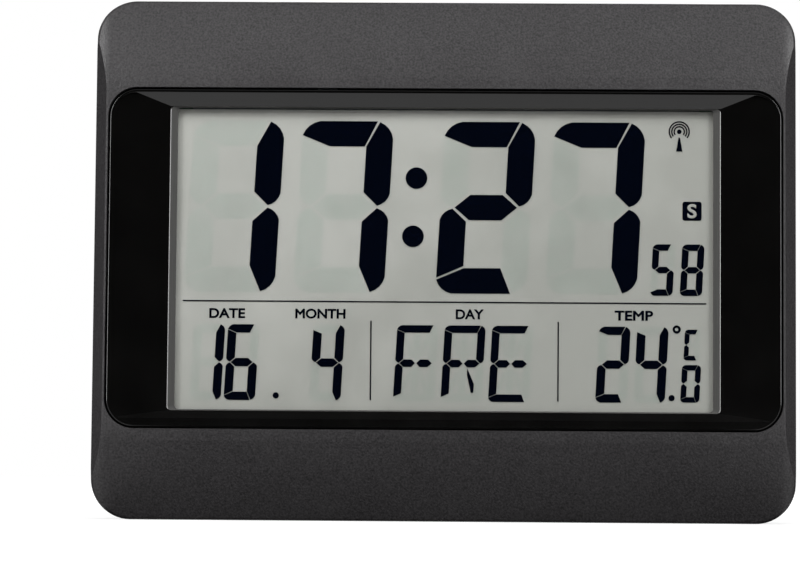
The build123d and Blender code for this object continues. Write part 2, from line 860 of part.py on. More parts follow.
# Key board with its switches and the thermistor
with BuildPart() as key_pcb:
    block(button_place, key_board_middle, key_board_width, key_board_height, y_key_board, y_key_rear)
    for x, z in key_screw_places:
        post(
            x, z, small_screw_radius + screw_clearance, y_key_board - overrun, y_key_rear + overrun,
            mode=Mode.SUBTRACT,
        )
finish(key_pcb, "key_pcb")

with BuildPart() as tact_switches:
    y_switch = y_key_rear + switch_body
    for z in button_heights:
        block(button_place, z, switch_width, switch_width, y_key_rear, y_switch)
        post(button_place, z, switch_plunger_radius, y_switch, y_switch + switch_plunger)
finish(tact_switches, "tact_switches")

with BuildPart() as thermistor:
    thermistor_place = button_place + key_board_width / 2 - key_screw_inset
    thermistor_height = key_board_bottom + key_screw_inset
    y_bead = y_key_rear + thermistor_lead_length
    for side in (-1, 1):
        post(
            thermistor_place + side * thermistor_lead_pitch / 2, thermistor_height,
            thermistor_lead_radius, y_key_rear, y_bead + thermistor_radius,
        )
    with Locations((thermistor_place, y_bead + thermistor_radius, thermistor_height)):
        Sphere(thermistor_radius)
finish(thermistor, "thermistor")

# Receiver for the time signal: board, ferrite rod and coil
with BuildPart() as receiver_pcb:
    block(
        receiver_place, aerial_height, receiver_width, receiver_height, receiver_front, y_receiver_rear
    )
    for x, z in receiver_screw_places:
        post(
            x, z, small_screw_radius + screw_clearance, receiver_front - overrun,
            y_receiver_rear + overrun, mode=Mode.SUBTRACT,
        )
finish(receiver_pcb, "receiver_pcb")

rod_middle = rod_start + rod_length / 2
coil_start = rod_middle - coil_length / 2
coil_end = rod_middle + coil_length / 2
with BuildPart() as ferrite_rod:
    bar(aerial_depth, aerial_height, rod_radius, rod_start, rod_start + rod_length)
finish(ferrite_rod, "ferrite_rod")

with BuildPart() as antenna_coil:
    bar(aerial_depth, aerial_height, coil_radius, coil_start, coil_end)
    bar(
        aerial_depth, aerial_height, rod_radius + coil_clearance, coil_start - overrun,
        coil_end + overrun, mode=Mode.SUBTRACT,
    )
finish(antenna_coil, "antenna_coil")


def flat_cable(x, width, y_from, z_from, y_between, z_to, y_to):
    """A flat cable that leaves one board, runs along between the two and meets the other."""
    with BuildLine(Plane.YZ.offset(x)) as route:
        FilletPolyline(
            (y_from, z_from), (y_between, z_from), (y_between, z_to), (y_to, z_to), radius=cable_bend
        )
    with BuildSketch(facing(y_from)) as section:
        with Locations((x, z_from)):
            Rectangle(width, cable_thickness)
    sweep(section.sketch, path=route.line)


def round_lead(points, radii):
    """A round lead along straight runs with rounded corners."""
    with BuildLine() as route:
        FilletPolyline(*points, radius=radii)
    start = Plane(points[0], x_dir=(0, 0, 1), z_dir=route.line % 0)
    with BuildSketch(start) as section:
        Circle(lead_radius)
    sweep(section.sketch, path=route.line)


with BuildPart() as key_cable:
    key_cable_start = button_heights[-1]
    key_cable_end = main_board_bottom + main_board_height - key_screw_inset
    flat_cable(
        button_place, key_cable_width, y_key_board, key_cable_start,
        (y_key_board + y_main_rear) / 2, key_cable_end, y_main_rear,
    )
finish(key_cable, "key_cable")

with BuildPart() as receiver_cable:
    receiver_cable_start = aerial_height - receiver_height / 2 + receiver_screw_inset / 2
    receiver_cable_end = main_board_bottom + main_board_height - key_screw_inset
    flat_cable(
        receiver_place, receiver_cable_width, receiver_front, receiver_cable_start,
        (receiver_front + y_main_rear) / 2, receiver_cable_end, y_main_rear,
    )
finish(receiver_cable, "receiver_cable")

# The aerial's lead leaves the coil's end and meets the receiver's board
antenna_lead_start = aerial_depth - (coil_radius + rod_radius) / 2
antenna_lead_end = receiver_place + receiver_width / 4
antenna_lead_height = aerial_height + receiver_height / 4
antenna_lead_points = (
    (coil_start, antenna_lead_start, aerial_height),
    (rod_start - antenna_lead_first_bend, antenna_lead_start, aerial_height + lead_radius),
    (
        receiver_place + antenna_lead_second_bend, antenna_lead_start + lead_radius,
        antenna_lead_height + lead_radius,
    ),
    (antenna_lead_end, antenna_lead_start, antenna_lead_height),
    (antenna_lead_end, receiver_front, antenna_lead_height),
)
antenna_lead_radii = (antenna_lead_sweep, antenna_lead_sweep, lead_bend)
with BuildPart() as antenna_lead:
    round_lead(antenna_lead_points, antenna_lead_radii)
finish(antenna_lead, "antenna_lead")

# Batteries, end to end with their contacts
cell_base = box_start + contact_thickness + spring_length
cell_far_base = box_end - contact_thickness - spring_length
with BuildPart() as aa_cells:
    for z, base, way in ((cell_heights[0], cell_base, 1), (cell_heights[1], cell_far_base, -1)):
        body_end = base + way * cell_length
        bar(y_cells, z, cell_radius, base, body_end)
        bar(y_cells, z, cell_nub_radius, body_end, body_end + way * cell_nub)
    fillet(aa_cells.edges().filter_by(
        lambda e: e.geom_type == GeomType.CIRCLE and abs(e.radius - cell_radius) < cell_end_radius
    ), cell_end_radius)
finish(aa_cells, "aa_cells")


def contact_plate(x_from, z_low, z_high):
    """A contact plate against an end wall of the battery box."""
    with BuildSketch(Plane.YZ.offset(x_from)) as outline:
        with Locations((y_cells, (z_low + z_high) / 2)):
            RectangleRounded(contact_size, contact_size + z_high - z_low, contact_edge)
    extrude(outline.sketch, amount=contact_thickness)


def contact_spring(x_from, z, way):
    """A conical spring that stands on a contact plate and presses on a cell."""
    rise = spring_length - 2 * spring_wire_radius - layer_gap + spring_sink
    cone = math.degrees(math.atan2(spring_tip_radius - spring_base_radius, rise))
    centre = (x_from + way * (spring_wire_radius - spring_sink), y_cells, z)
    with BuildLine() as route:
        Helix(rise / spring_turns, rise, spring_base_radius, centre, (way, 0, 0), cone)
    with BuildSketch(Plane(route.line @ 0, z_dir=route.line % 0)) as section:
        Circle(spring_wire_radius)
    sweep(section.sketch, path=route.line, is_frenet=True)


def terminal_tab(z):
    """The tab of a terminal, through the wall of the battery box."""
    with BuildSketch(Plane.YZ.offset(box_start - tab_reach - box_wall)) as outline:
        with Locations((y_cells, z)):
            Rectangle(contact_thickness, tab_width)
    extrude(outline.sketch, amount=tab_reach + box_wall + contact_thickness)


with BuildPart() as battery_bridge:
    contact_plate(box_end - contact_thickness, cell_heights[0], cell_heights[1])
    contact_spring(box_end - contact_thickness, cell_heights[1], -1)
finish(battery_bridge, "battery_bridge")

with BuildPart() as battery_terminal_positive:
    contact_plate(box_start, cell_heights[1], cell_heights[1])
    terminal_tab(cell_heights[1])
finish(battery_terminal_positive, "battery_terminal_positive")

with BuildPart() as battery_terminal_negative:
    contact_plate(box_start, cell_heights[0], cell_heights[0])
    terminal_tab(cell_heights[0])
    contact_spring(box_start + contact_thickness, cell_heights[0], 1)
finish(battery_terminal_negative, "battery_terminal_negative")

# Leads from the terminals to the main board
tab_end = box_start - tab_reach - box_wall
positive_end = main_board_bottom + positive_lead_rise
negative_end = main_board_bottom + negative_lead_rise
positive_points = (
    (tab_end, y_cells, cell_heights[1]),
    (positive_lead_place, y_cells, cell_heights[1]),
    (positive_lead_place, battery_lead_depth, z_case),
    (positive_lead_place, battery_lead_depth + lead_bend, positive_end),
    (positive_lead_place, y_main_rear, positive_end),
)
negative_points = (
    (tab_end, y_cells, cell_heights[0]),
    (negative_lead_place, y_cells, cell_heights[0]),
    (negative_lead_place, battery_lead_depth, z_case),
    (negative_lead_place, battery_lead_depth + lead_bend, negative_end),
    (negative_lead_place, y_main_rear, negative_end),
)
battery_lead_radii = (lead_bend, battery_lead_sweep, lead_bend)
with BuildPart() as battery_lead_positive:
    round_lead(positive_points, battery_lead_radii)
finish(battery_lead_positive, "battery_lead_positive")

with BuildPart() as battery_lead_negative:
    round_lead(negative_points, battery_lead_radii)
finish(battery_lead_negative, "battery_lead_negative")

# Rear cover: tray, screw wells, battery box, stand recess, button panel and wall hanger
door_height = box_height - 2 * door_gap
y_rail = y_rear - door_thickness
y_rail_top = y_rail + door_rail_thickness
panel_width = button_width + 2 * panel_margin
panel_height = button_heights[-1] - button_heights[0] + button_height + 2 * panel_margin
panel_middle = (button_heights[0] + button_heights[-1]) / 2
recess_height = recess_top - recess_bottom
recess_middle = (recess_top + recess_bottom) / 2
pocket_height = 2 * (stand_barrel_radius + stand_barrel_gap)
y_pocket = y_stand_axis - stand_barrel_radius - stand_barrel_gap
keyhole_height = case_height - keyhole_drop
hanger_middle = keyhole_height + keyhole_travel / 2
hanger_width = 2 * (keyhole_radius + hanger_box_margin)
hanger_height = hanger_width + keyhole_travel
y_hanger = y_inner - hanger_box_depth
y_well = y_part + well_gap
y_well_floor = y_well + well_floor

with BuildPart() as rear_cover:
    block(0, z_case, case_width, case_height, y_part, y_rear, corner_radius)
    fillet(rear_cover.faces().sort_by(Axis.Y)[-1].edges(), rear_edge_radius)
    block(
        0, z_case, case_width - 2 * wall, case_height - 2 * wall, y_part - overrun, y_inner,
        corner_radius - wall, mode=Mode.SUBTRACT,
    )
    tongue_outer = tongue_inset + tongue_clearance
    with BuildSketch(facing(y_part - tongue_depth)) as tongue:
        with Locations((0, z_case)):
            RectangleRounded(
                case_width - 2 * tongue_outer, case_height - 2 * tongue_outer,
                corner_radius - tongue_outer,
            )
            RectangleRounded(
                case_width - 2 * wall, case_height - 2 * wall, corner_radius - wall, mode=Mode.SUBTRACT
            )
    extrude(tongue.sketch, amount=-tongue_depth)

    # Walls that stand up inside the tray
    for x, z in case_screw_places:
        post(x, z, case_screw_head + well_clearance + well_wall, y_well, y_inner)
    box_centre = (box_start + box_end) / 2
    block(
        box_centre, box_middle, box_length + 2 * box_wall, box_height + 2 * box_wall, y_box, y_inner
    )
    collar = door_rail + door_gap + collar_wall
    collar_reach = case_width / 2 - wall / 2 - box_start + collar
    block(
        box_start - collar + collar_reach / 2, box_middle, collar_reach, box_height + 2 * collar,
        y_rail - door_gap / 2 - collar_wall, y_inner,
    )
    block(
        0, recess_middle, recess_width + 2 * rear_wall, recess_height + 2 * rear_wall,
        y_recess - rear_wall, y_inner,
    )
    block(
        0, stand_axis_height, recess_width + 2 * rear_wall, pocket_height + 2 * rear_wall,
        y_pocket - rear_wall, y_inner,
    )
    grip_middle = grip_bottom + grip_height / 2
    block(
        0, grip_middle, recess_width + 2 * (grip_width + rear_wall), grip_height + 2 * rear_wall,
        y_recess - rear_wall, y_inner,
    )
    block(
        button_place, panel_middle, panel_width + 2 * rear_wall, panel_height + 2 * rear_wall,
        y_panel_inner, y_inner,
    )
    block(
        0, hanger_middle, hanger_width + 2 * hanger_box_wall, hanger_height + 2 * hanger_box_wall,
        y_hanger - hanger_box_wall, y_inner,
    )
    for x, z in key_screw_places:
        post(x, z, post_radius, y_key_rear, y_inner)
    for x, z in receiver_screw_places:
        post(x, z, post_radius, y_receiver_rear, y_inner)
    for x in (rod_start + saddle_inset, rod_start + rod_length - saddle_inset):
        block(
            x, aerial_height, saddle_thickness, saddle_height, aerial_depth - saddle_grip, y_inner
        )
    bar(
        aerial_depth, aerial_height, rod_radius + saddle_clearance, rod_start, rod_start + rod_length,
        mode=Mode.SUBTRACT,
    )

    # Screw wells
    for x, z in case_screw_places:
        post(
            x, z, case_screw_head + well_clearance, y_well_floor, y_rear + overrun, mode=Mode.SUBTRACT
        )
        post(
            x, z, case_screw_radius + screw_clearance, y_well - overrun, y_well_floor + overrun,
            mode=Mode.SUBTRACT,
        )
    for places, y_end in ((key_screw_places, y_key_rear), (receiver_screw_places, y_receiver_rear)):
        for x, z in places:
            post(
                x, z, small_screw_radius + screw_clearance, y_end - overrun,
                y_end + small_screw_length, mode=Mode.SUBTRACT,
            )

    # Battery box, with rails for its door and slots for the terminals
    block(
        box_centre, box_middle, box_length, box_height, y_box + box_wall, y_rear + overrun,
        mode=Mode.SUBTRACT,
    )
    door_reach = case_width / 2 + overrun - box_start
    block(
        box_start + door_reach / 2, box_middle, door_reach, box_height, y_rail - door_gap / 2,
        y_rear + overrun, mode=Mode.SUBTRACT,
    )
    rail_reach = door_reach + door_rail + door_gap
    block(
        case_width / 2 + overrun - rail_reach / 2, box_middle, rail_reach,
        box_height + 2 * door_rail + door_gap, y_rail - door_gap / 2, y_rail_top + door_gap / 2,
        mode=Mode.SUBTRACT,
    )
    for z in cell_heights:
        with BuildSketch(Plane.YZ.offset(box_start - box_wall - overrun)) as slot:
            with Locations((y_cells, z)):
                Rectangle(contact_thickness + tab_clearance, tab_width + tab_clearance)
        extrude(slot.sketch, amount=box_wall + 2 * overrun, mode=Mode.SUBTRACT)

    # Recess for the stand, with room for its barrel and for two fingers
    block(
        0, recess_middle, recess_width, recess_height, y_recess, y_rear + overrun, mode=Mode.SUBTRACT
    )
    block(
        0, stand_axis_height, recess_width, pocket_height, y_pocket, y_rear + overrun,
        mode=Mode.SUBTRACT,
    )
    block(
        0, grip_middle, recess_width + 2 * grip_width, grip_height, y_recess, y_rear + overrun,
        stand_corner, mode=Mode.SUBTRACT,
    )
    pin_half = recess_width / 2 + stand_pin_grip
    bar(
        y_stand_axis, stand_axis_height, stand_pin_radius + stand_pin_clearance / 2,
        -pin_half, pin_half, mode=Mode.SUBTRACT,
    )

    # Button panel, hanger and vents
    block(
        button_place, panel_middle, panel_width, panel_height, y_panel, y_rear + overrun, panel_corner,
        mode=Mode.SUBTRACT,
    )
    for z in button_heights:
        block(
            button_place, z, button_width + 2 * button_gap, button_height + 2 * button_gap,
            y_panel_inner - overrun, y_rear, button_corner + button_gap, mode=Mode.SUBTRACT,
        )
    block(0, hanger_middle, hanger_width, hanger_height, y_hanger, y_inner, mode=Mode.SUBTRACT)
    post(0, keyhole_height, keyhole_radius, y_inner - overrun, y_rear + overrun, mode=Mode.SUBTRACT)
    slot_end = keyhole_height + keyhole_travel
    block(
        0, keyhole_height + keyhole_travel / 2, keyhole_slot, keyhole_travel, y_inner - overrun,
        y_rear + overrun, mode=Mode.SUBTRACT,
    )
    post(0, slot_end, keyhole_slot / 2, y_inner - overrun, y_rear + overrun, mode=Mode.SUBTRACT)
    for step in range(vent_count):
        block(
            button_place, vent_bottom + step * vent_pitch, vent_width, vent_height, y_inner - overrun,
            y_rear + overrun, vent_height / 2 - vent_height / 100, mode=Mode.SUBTRACT,
        )
finish(rear_cover, "rear_cover")

# Battery door: slides out sideways in its rails
door_start = box_start + door_gap
door_middle = (door_start + case_width / 2) / 2
with BuildPart() as battery_door:
    block(0, z_case, case_width, case_height, y_part, y_rear, corner_radius)
    fillet(battery_door.faces().sort_by(Axis.Y)[-1].edges(), rear_edge_radius)
    with BuildPart(mode=Mode.PRIVATE) as door_room:
        block(
            door_middle, box_middle, case_width / 2 - door_start, door_height, y_rail, y_rear + overrun
        )
        rail_length = case_width / 2 - door_start + door_rail
        block(
            case_width / 2 - rail_length / 2, box_middle, rail_length, door_height + 2 * door_rail,
            y_rail, y_rail_top,
        )
    add(door_room.part, mode=Mode.INTERSECT)
    for step in range(door_grip_count):
        block(
            case_width / 2 - rear_edge_radius - (step + 1) * door_grip_pitch, box_middle,
            door_grip_width, door_grip_length, y_rear - door_grip_depth, y_rear + overrun,
            mode=Mode.SUBTRACT,
        )
finish(battery_door, "battery_door")

# Buttons: a cap through the panel, a flange behind it and a stem over the switch
button_names = ("set_button", "up_button", "down_button", "receive_button")
for button_name, z in zip(button_names, reversed(button_heights)):
    with BuildPart() as button:
        y_flange = y_panel_inner - button_flange_thickness
        block(
            button_place, z, button_width, button_height, y_flange, y_rear - button_sink, button_corner
        )
        fillet(button.faces().sort_by(Axis.Y)[-1].edges(), button_edge_radius)
        block(
            button_place, z, button_width + 2 * button_flange, button_height + 2 * button_flange,
            y_flange, y_panel_inner, button_corner,
        )
        post(button_place, z, button_stem_radius, y_stem, y_flange)
    finish(button, button_name)

# Stand with its barrel, and the pin that it swings on
with BuildPart() as stand:
    with BuildSketch(facing(y_stand_front)):
        with BuildLine():
            Polyline(
                (-stand_width / 2, stand_axis_height),
                (-stand_foot_width / 2, stand_foot),
                (stand_foot_width / 2, stand_foot),
                (stand_width / 2, stand_axis_height),
                close=True,
            )
        make_face()
        stand_middle = (stand_axis_height + stand_foot) / 2
        with Locations((0, stand_middle - stand_window_rise)):
            RectangleRounded(
                stand_window_width, stand_window_height, stand_corner, mode=Mode.SUBTRACT
            )
    extrude(amount=-stand_thickness)
    foot_corners = stand.edges().filter_by(Axis.Y).group_by(Axis.Z)[0]
    fillet(foot_corners, stand_corner)
    bar(y_stand_axis, stand_axis_height, stand_barrel_radius, -stand_width / 2, stand_width / 2)
    bar(
        y_stand_axis, stand_axis_height, stand_pin_radius + stand_pin_clearance,
        -stand_width, stand_width, mode=Mode.SUBTRACT,
    )
finish(stand, "stand")

with BuildPart() as stand_pin:
    bar(y_stand_axis, stand_axis_height, stand_pin_radius, -pin_half, pin_half)
finish(stand_pin, "stand_pin")

# Screws
with BuildPart() as case_screws:
    for x, z in case_screw_places:
        screw(
            x, z, y_well_floor, case_screw_radius, case_screw_head, case_screw_head_height,
            case_screw_length,
        )
finish(case_screws, "case_screws")

with BuildPart() as bezel_screws:
    for x, z in bezel_screw_places:
        small_screw(x, z, y_skirt)
finish(bezel_screws, "bezel_screws")

with BuildPart() as board_screws:
    for x, z in holder_post_places:
        small_screw(x, z, y_holder_rear, length=holder_screw_length)
    for x, z in board_post_places:
        small_screw(x, z, y_main_rear)
    for x, z in key_screw_places:
        small_screw(x, z, y_key_board, -1)
    for x, z in receiver_screw_places:
        small_screw(x, z, receiver_front, -1)
finish(board_screws, "board_screws")
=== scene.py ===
"""Digital wall clock: finishes, display layers, printed signs, rear marks and stage, around the CAD frame."""

import math

import bpy
from bpy.props import FloatProperty, FloatVectorProperty, PointerProperty
from mathutils import Matrix, Vector


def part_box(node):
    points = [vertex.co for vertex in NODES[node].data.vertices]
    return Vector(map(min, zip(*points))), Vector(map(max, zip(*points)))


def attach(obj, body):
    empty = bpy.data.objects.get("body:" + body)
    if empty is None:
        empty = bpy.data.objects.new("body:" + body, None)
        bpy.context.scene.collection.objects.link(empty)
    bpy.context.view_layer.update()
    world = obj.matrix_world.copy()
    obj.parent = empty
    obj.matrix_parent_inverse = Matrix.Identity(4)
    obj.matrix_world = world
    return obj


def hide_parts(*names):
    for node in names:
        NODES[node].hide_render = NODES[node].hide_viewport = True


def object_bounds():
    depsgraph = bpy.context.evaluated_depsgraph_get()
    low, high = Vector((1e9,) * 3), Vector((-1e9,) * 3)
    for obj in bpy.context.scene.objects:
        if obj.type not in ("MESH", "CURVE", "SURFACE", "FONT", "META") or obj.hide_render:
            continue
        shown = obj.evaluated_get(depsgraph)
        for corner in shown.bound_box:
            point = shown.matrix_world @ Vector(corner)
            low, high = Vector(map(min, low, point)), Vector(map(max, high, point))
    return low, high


bl_info = {
    "name": "Digital wall clock",
    "version": (1, 0, 0),
    "blender": (4, 5, 0),
    "location": "View3D > Sidebar > Clock",
    "description": "Finishes, display signs, rear marks and stage for a digital wall clock",
    "category": "Object",
}

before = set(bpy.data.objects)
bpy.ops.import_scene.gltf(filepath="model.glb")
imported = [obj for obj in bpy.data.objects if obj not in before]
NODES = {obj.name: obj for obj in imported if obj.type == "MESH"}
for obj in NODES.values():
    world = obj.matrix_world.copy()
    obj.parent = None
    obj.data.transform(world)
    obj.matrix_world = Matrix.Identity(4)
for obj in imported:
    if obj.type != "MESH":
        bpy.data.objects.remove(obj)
CAD_BOX = [list(corner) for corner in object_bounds()]
MIDDLE = Vector((0, 0, (CAD_BOX[0][2] + CAD_BOX[1][2]) / 2))

MM = 0.001
NO_STRETCH = (1.0, 1.0, 1.0)
WHITE = (1, 1, 1, 1)

# A noise keeps mostly between these values, so tones and gloss run from one to the other there.
NOISE_LOW, NOISE_HIGH = 0.3, 0.7


def colour_property(name, description, default):
    """Colour in linear light."""
    return FloatVectorProperty(
        name=name, description=description, subtype="COLOR", size=3, min=0, max=1, default=default
    )


def length_property(name, description, default):
    """Length in metres."""
    return FloatProperty(
        name=name, description=description, default=default, unit="LENGTH", subtype="DISTANCE", precision=5
    )


def factor_property(name, description, default):
    """Share from none to all."""
    return FloatProperty(
        name=name, description=description, default=default, min=0, max=1, subtype="FACTOR"
    )


def angle_property(name, description, degrees):
    """Angle, given in degrees and kept in radians."""
    return FloatProperty(
        name=name, description=description, default=math.radians(degrees), unit="ROTATION"
    )


def power_property(name, description, default):
    """Power of a lamp in watts."""
    return FloatProperty(name=name, description=description, default=default, unit="POWER")


class ClockFinishes(bpy.types.PropertyGroup):
    """Colours and surface values of the pieces."""

    case_colour: colour_property("Case", "Anthracite of the moulded case", (0.0285, 0.0268, 0.0283))
    case_speckle: factor_property("Case speckle", "How far the grains' tone departs from the colour", 0.5)
    case_roughness: factor_property("Case roughness", "Gloss of the grained case", 0.4)
    case_shine: factor_property("Case shine", "Strength of the case's reflections", 0.24)
    case_grain: length_property("Case grain", "Width of the grains moulded into the case", 0.0006)
    case_relief: length_property("Case relief", "Height of the grains moulded into the case", 0.00009)
    bezel_colour: colour_property("Bezel", "Gloss black of the surround", (0.0028, 0.0027, 0.0026))
    bezel_roughness: factor_property("Bezel roughness", "Gloss of the surround", 0.08)
    bezel_shine: factor_property("Bezel shine", "Strength of the surround's reflections", 0.4)
    # The window wall's colour is partly a satin edge and partly a painted reflection of the display's light,
    # far paler than the gloss black facets.
    wall_satin_and_painted_reflection: colour_property(
        "Window wall", "Satin edge between the surround and the display", (0.034, 0.0336, 0.0312)
    )
    wall_roughness: factor_property("Window wall roughness", "Gloss of that edge", 0.85)
    wall_depth: length_property("Window wall depth", "From the surround's facets back to the pane", 0.001)
    # The display's pale and dark tones are the ends of its random clouds, and they also carry painted light:
    # paler up and to the left, painted shade down and to the right.
    display_pale_clouds_and_lit: colour_property("Display", "Grey-green of the display's back", (0.505, 0.512, 0.478))
    display_dark_clouds_and_shaded: colour_property(
        "Display shade", "Darker clouds of the display's back", (0.395, 0.403, 0.372)
    )
    segment_colour: colour_property(
        "Segments", "Dark blue-black of a segment that is on", (0.0008, 0.0018, 0.0055)
    )
    idle_weak: colour_property("Idle tint", "Weakest tint of a segment that is off", (0.99, 0.999, 0.996))
    idle_strong: colour_property("Idle tint, strong", "Strongest tint of such a segment", (0.98, 0.996, 0.99))
    button_colour: colour_property("Buttons", "Grey of the rear buttons", (0.11, 0.108, 0.108))
    mark_colour: colour_property("Marks", "Pale print of the rear marks", (0.5, 0.5, 0.49))
    board_colour: colour_property("Boards", "Green of the circuit boards", (0.012, 0.09, 0.03))
    cell_colour: colour_property("Cells", "Jacket of the two cells", (0.012, 0.03, 0.07))


class ClockSigns(bpy.types.PropertyGroup):
    """Sizes of the display's small signs and of the rear marks."""

    label_height: length_property("Label height", "Height of the capitals under the big digits", 0.00305)
    label_weight: length_property("Label weight", "How much the labels' strokes are thickened", 0.00013)
    badge_size: length_property("Badge size", "Side of the summer time badge", 0.00585)
    mark_relief: length_property("Mark relief", "Height of the marks on the rear buttons", 0.00012)


class ClockStage(bpy.types.PropertyGroup):
    """Camera, lamps and floor."""

    camera_distance: length_property("Distance", "From the middle of the clock to the camera", 0.9)
    camera_azimuth: angle_property("Azimuth", "Turn of the camera to the right", 0.856)
    camera_elevation: angle_property("Elevation", "Rise of the camera", -4.078)
    camera_roll: angle_property("Roll", "Turn of the camera about its own axis", 0.421)
    camera_lens: FloatProperty(name="Lens", description="Focal length", default=130.57, unit="CAMERA")
    shift_x: FloatProperty(name="Shift across", description="Share of the picture's width", default=-0.0561)
    shift_y: FloatProperty(name="Shift up", description="Share of the picture's width", default=-0.0376)
    key_power: power_property("Key", "Lamp above the front", 11.6)
    side_power: power_property("Sides", "Each of the two side lamps", 8.0)
    rear_power: power_property("Rear", "Lamp behind the clock", 12.0)
    fill: FloatProperty(name="Fill", description="Even light from all round", default=0.13, min=0)
    floor_colour: colour_property("Floor", "Pale floor", (0.25, 0.25, 0.25))
    floor_glow: factor_property("Floor glow", "Whiteness that the floor shows besides its light", 0.75)


# ---------------------------------------------------------------- finishes


def new_finish(name):
    """Material with its node tree, its shader and the Object coordinates."""
    material = bpy.data.materials.new(name)
    material.use_nodes = True
    tree = material.node_tree
    place = tree.nodes.new("ShaderNodeTexCoord").outputs["Object"]
    return material, tree, tree.nodes["Principled BSDF"], place


def noise(tree, place, size, detail=2.0, stretch=NO_STRETCH):
    """Noise in lumps about size metres wide, drawn out along the axes where stretch is over one."""
    mapping = tree.nodes.new("ShaderNodeMapping")
    mapping.inputs["Scale"].default_value = [1 / (size * share) for share in stretch]
    texture = tree.nodes.new("ShaderNodeTexNoise")
    texture.inputs["Scale"].default_value = 1
    texture.inputs["Detail"].default_value = detail
    tree.links.new(place, mapping.inputs["Vector"])
    tree.links.new(mapping.outputs["Vector"], texture.inputs["Vector"])
    return texture.outputs["Fac"]


def calculate(tree, operation, first, second):
    """Result of one operation on a socket and another socket, or a number."""
    node = tree.nodes.new("ShaderNodeMath")
    node.operation = operation
    tree.links.new(first, node.inputs[0])
    if isinstance(second, (int, float)):
        node.inputs[1].default_value = second
    else:
        tree.links.new(second, node.inputs[1])
    return node.outputs["Value"]


def map_range(tree, value, start, end, low, high):
    """Runs from low to high as the value goes from start to end, and no further."""
    reach = tree.nodes.new("ShaderNodeMapRange")
    for name, limit in (("From Min", start), ("From Max", end), ("To Min", low), ("To Max", high)):
        reach.inputs[name].default_value = limit
    tree.links.new(value, reach.inputs["Value"])
    return reach.outputs["Result"]


def blend_colours(tree, share, dark, light, socket):
    """Runs from dark to light as the noise rises through its middle."""
    ramp = tree.nodes.new("ShaderNodeValToRGB")
    low, high = ramp.color_ramp.elements
    low.position, high.position = NOISE_LOW, NOISE_HIGH
    low.color, high.color = (*dark, 1), (*light, 1)
    tree.links.new(share, ramp.inputs["Fac"])
    tree.links.new(ramp.outputs["Color"], socket)


def shaded(colour, share):
    """Colour made darker or lighter by a share."""
    return [min(1.0, part * share) for part in colour]


def speckle_colour(tree, share, colour, spread, socket):
    """Colour that is darker and lighter by the spread as the noise falls and rises."""
    blend_colours(tree, share, shaded(colour, 1 - spread), shaded(colour, 1 + spread), socket)


def vary(tree, share, low, high, socket):
    """Value from low to high as the noise rises through its middle."""
    tree.links.new(map_range(tree, share, NOISE_LOW, NOISE_HIGH, low, high), socket)


def vary_about(tree, share, value, spread, socket):
    """Value that is lower and higher by the spread as the noise falls and rises."""
    vary(tree, share, value * (1 - spread), min(1.0, value * (1 + spread)), socket)


def relief(tree, share, height, shader):
    """Bump of that height in metres."""
    bump = tree.nodes.new("ShaderNodeBump")
    bump.inputs["Strength"].default_value = 1
    bump.inputs["Distance"].default_value = height
    tree.links.new(share, bump.inputs["Height"])
    tree.links.new(bump.outputs["Normal"], shader.inputs["Normal"])


def moulded(
    name, colour, roughness, grain, height, spread=0.25, shine=0.5, grains_per_patch=30, patch_spread=0.08
):
    """Moulded plastic: speckled tone, gloss that changes in patches, and a grain of that height."""
    material, tree, shader, place = new_finish(name)
    shader.inputs["Specular IOR Level"].default_value = shine
    speckle = noise(tree, place, grain, detail=3.0)
    patches = noise(tree, place, grain * grains_per_patch)
    speckle_colour(tree, speckle, colour, spread, shader.inputs["Base Color"])
    vary_about(tree, patches, roughness, patch_spread, shader.inputs["Roughness"])
    relief(tree, speckle, height, shader)
    return material


def gloss(
    name, colour, roughness, haze_size=14 * MM, tone_spread=0.15, gloss_spread=0.2,
    ripple_size=9 * MM, ripple_height=0.006 * MM,
):
    """Polished plastic: faint haze, and the slow ripple of a moulded face."""
    material, tree, shader, place = new_finish(name)
    haze = noise(tree, place, haze_size, detail=4.0)
    speckle_colour(tree, haze, colour, tone_spread, shader.inputs["Base Color"])
    vary_about(tree, haze, roughness, gloss_spread, shader.inputs["Roughness"])
    relief(tree, noise(tree, place, ripple_size), ripple_height, shader)
    return material


def lead_over(tree, share, socket, kind):
    """Leads a socket from what feeds it now to a second end as the share rises, and gives that end."""
    near = socket.links[0].from_socket
    mix = tree.nodes.new("ShaderNodeMix")
    mix.data_type = kind
    ending = {"RGBA": "_Color", "FLOAT": "_Float"}[kind]
    ends = {end.identifier: end for end in (*mix.inputs, *mix.outputs)}
    tree.links.new(share, ends["Factor_Float"])
    tree.links.new(near, ends["A" + ending])
    tree.links.new(ends["Result" + ending], socket)
    return ends["B" + ending]


def surround(
    name, finishes, wall_start, fade_start=0.02 * MM, fade_end=0.15 * MM,
    streak_width=0.4 * MM, streak_stretch=(1.0, 1.0, 30.0), streak_spread=0.15,
):
    """Gloss of the surround's facets, and from that depth on the satin, streaked wall of its window, painted
    paler to stand in for the display's light that it reflects.
    """
    material = gloss(name, finishes.bezel_colour, finishes.bezel_roughness)
    tree = material.node_tree
    shader = tree.nodes["Principled BSDF"]
    shader.inputs["Specular IOR Level"].default_value = finishes.bezel_shine
    place = tree.nodes["Texture Coordinate"].outputs["Object"]
    axes = tree.nodes.new("ShaderNodeSeparateXYZ")
    tree.links.new(place, axes.inputs["Vector"])
    wall = map_range(tree, axes.outputs["Y"], wall_start + fade_start, wall_start + fade_end, 0, 1)
    streaks = noise(tree, place, streak_width, stretch=streak_stretch)
    # Painted reflection: from the wall's depth on, the tone turns pale to stand in for the display's light on
    # the wall.
    wall_tone_and_reflection = lead_over(tree, wall, shader.inputs["Base Color"], "RGBA")
    speckle_colour(tree, streaks, finishes.wall_satin_and_painted_reflection, streak_spread, wall_tone_and_reflection)
    wall_gloss = lead_over(tree, wall, shader.inputs["Roughness"], "FLOAT")
    wall_gloss.default_value = finishes.wall_roughness
    return material


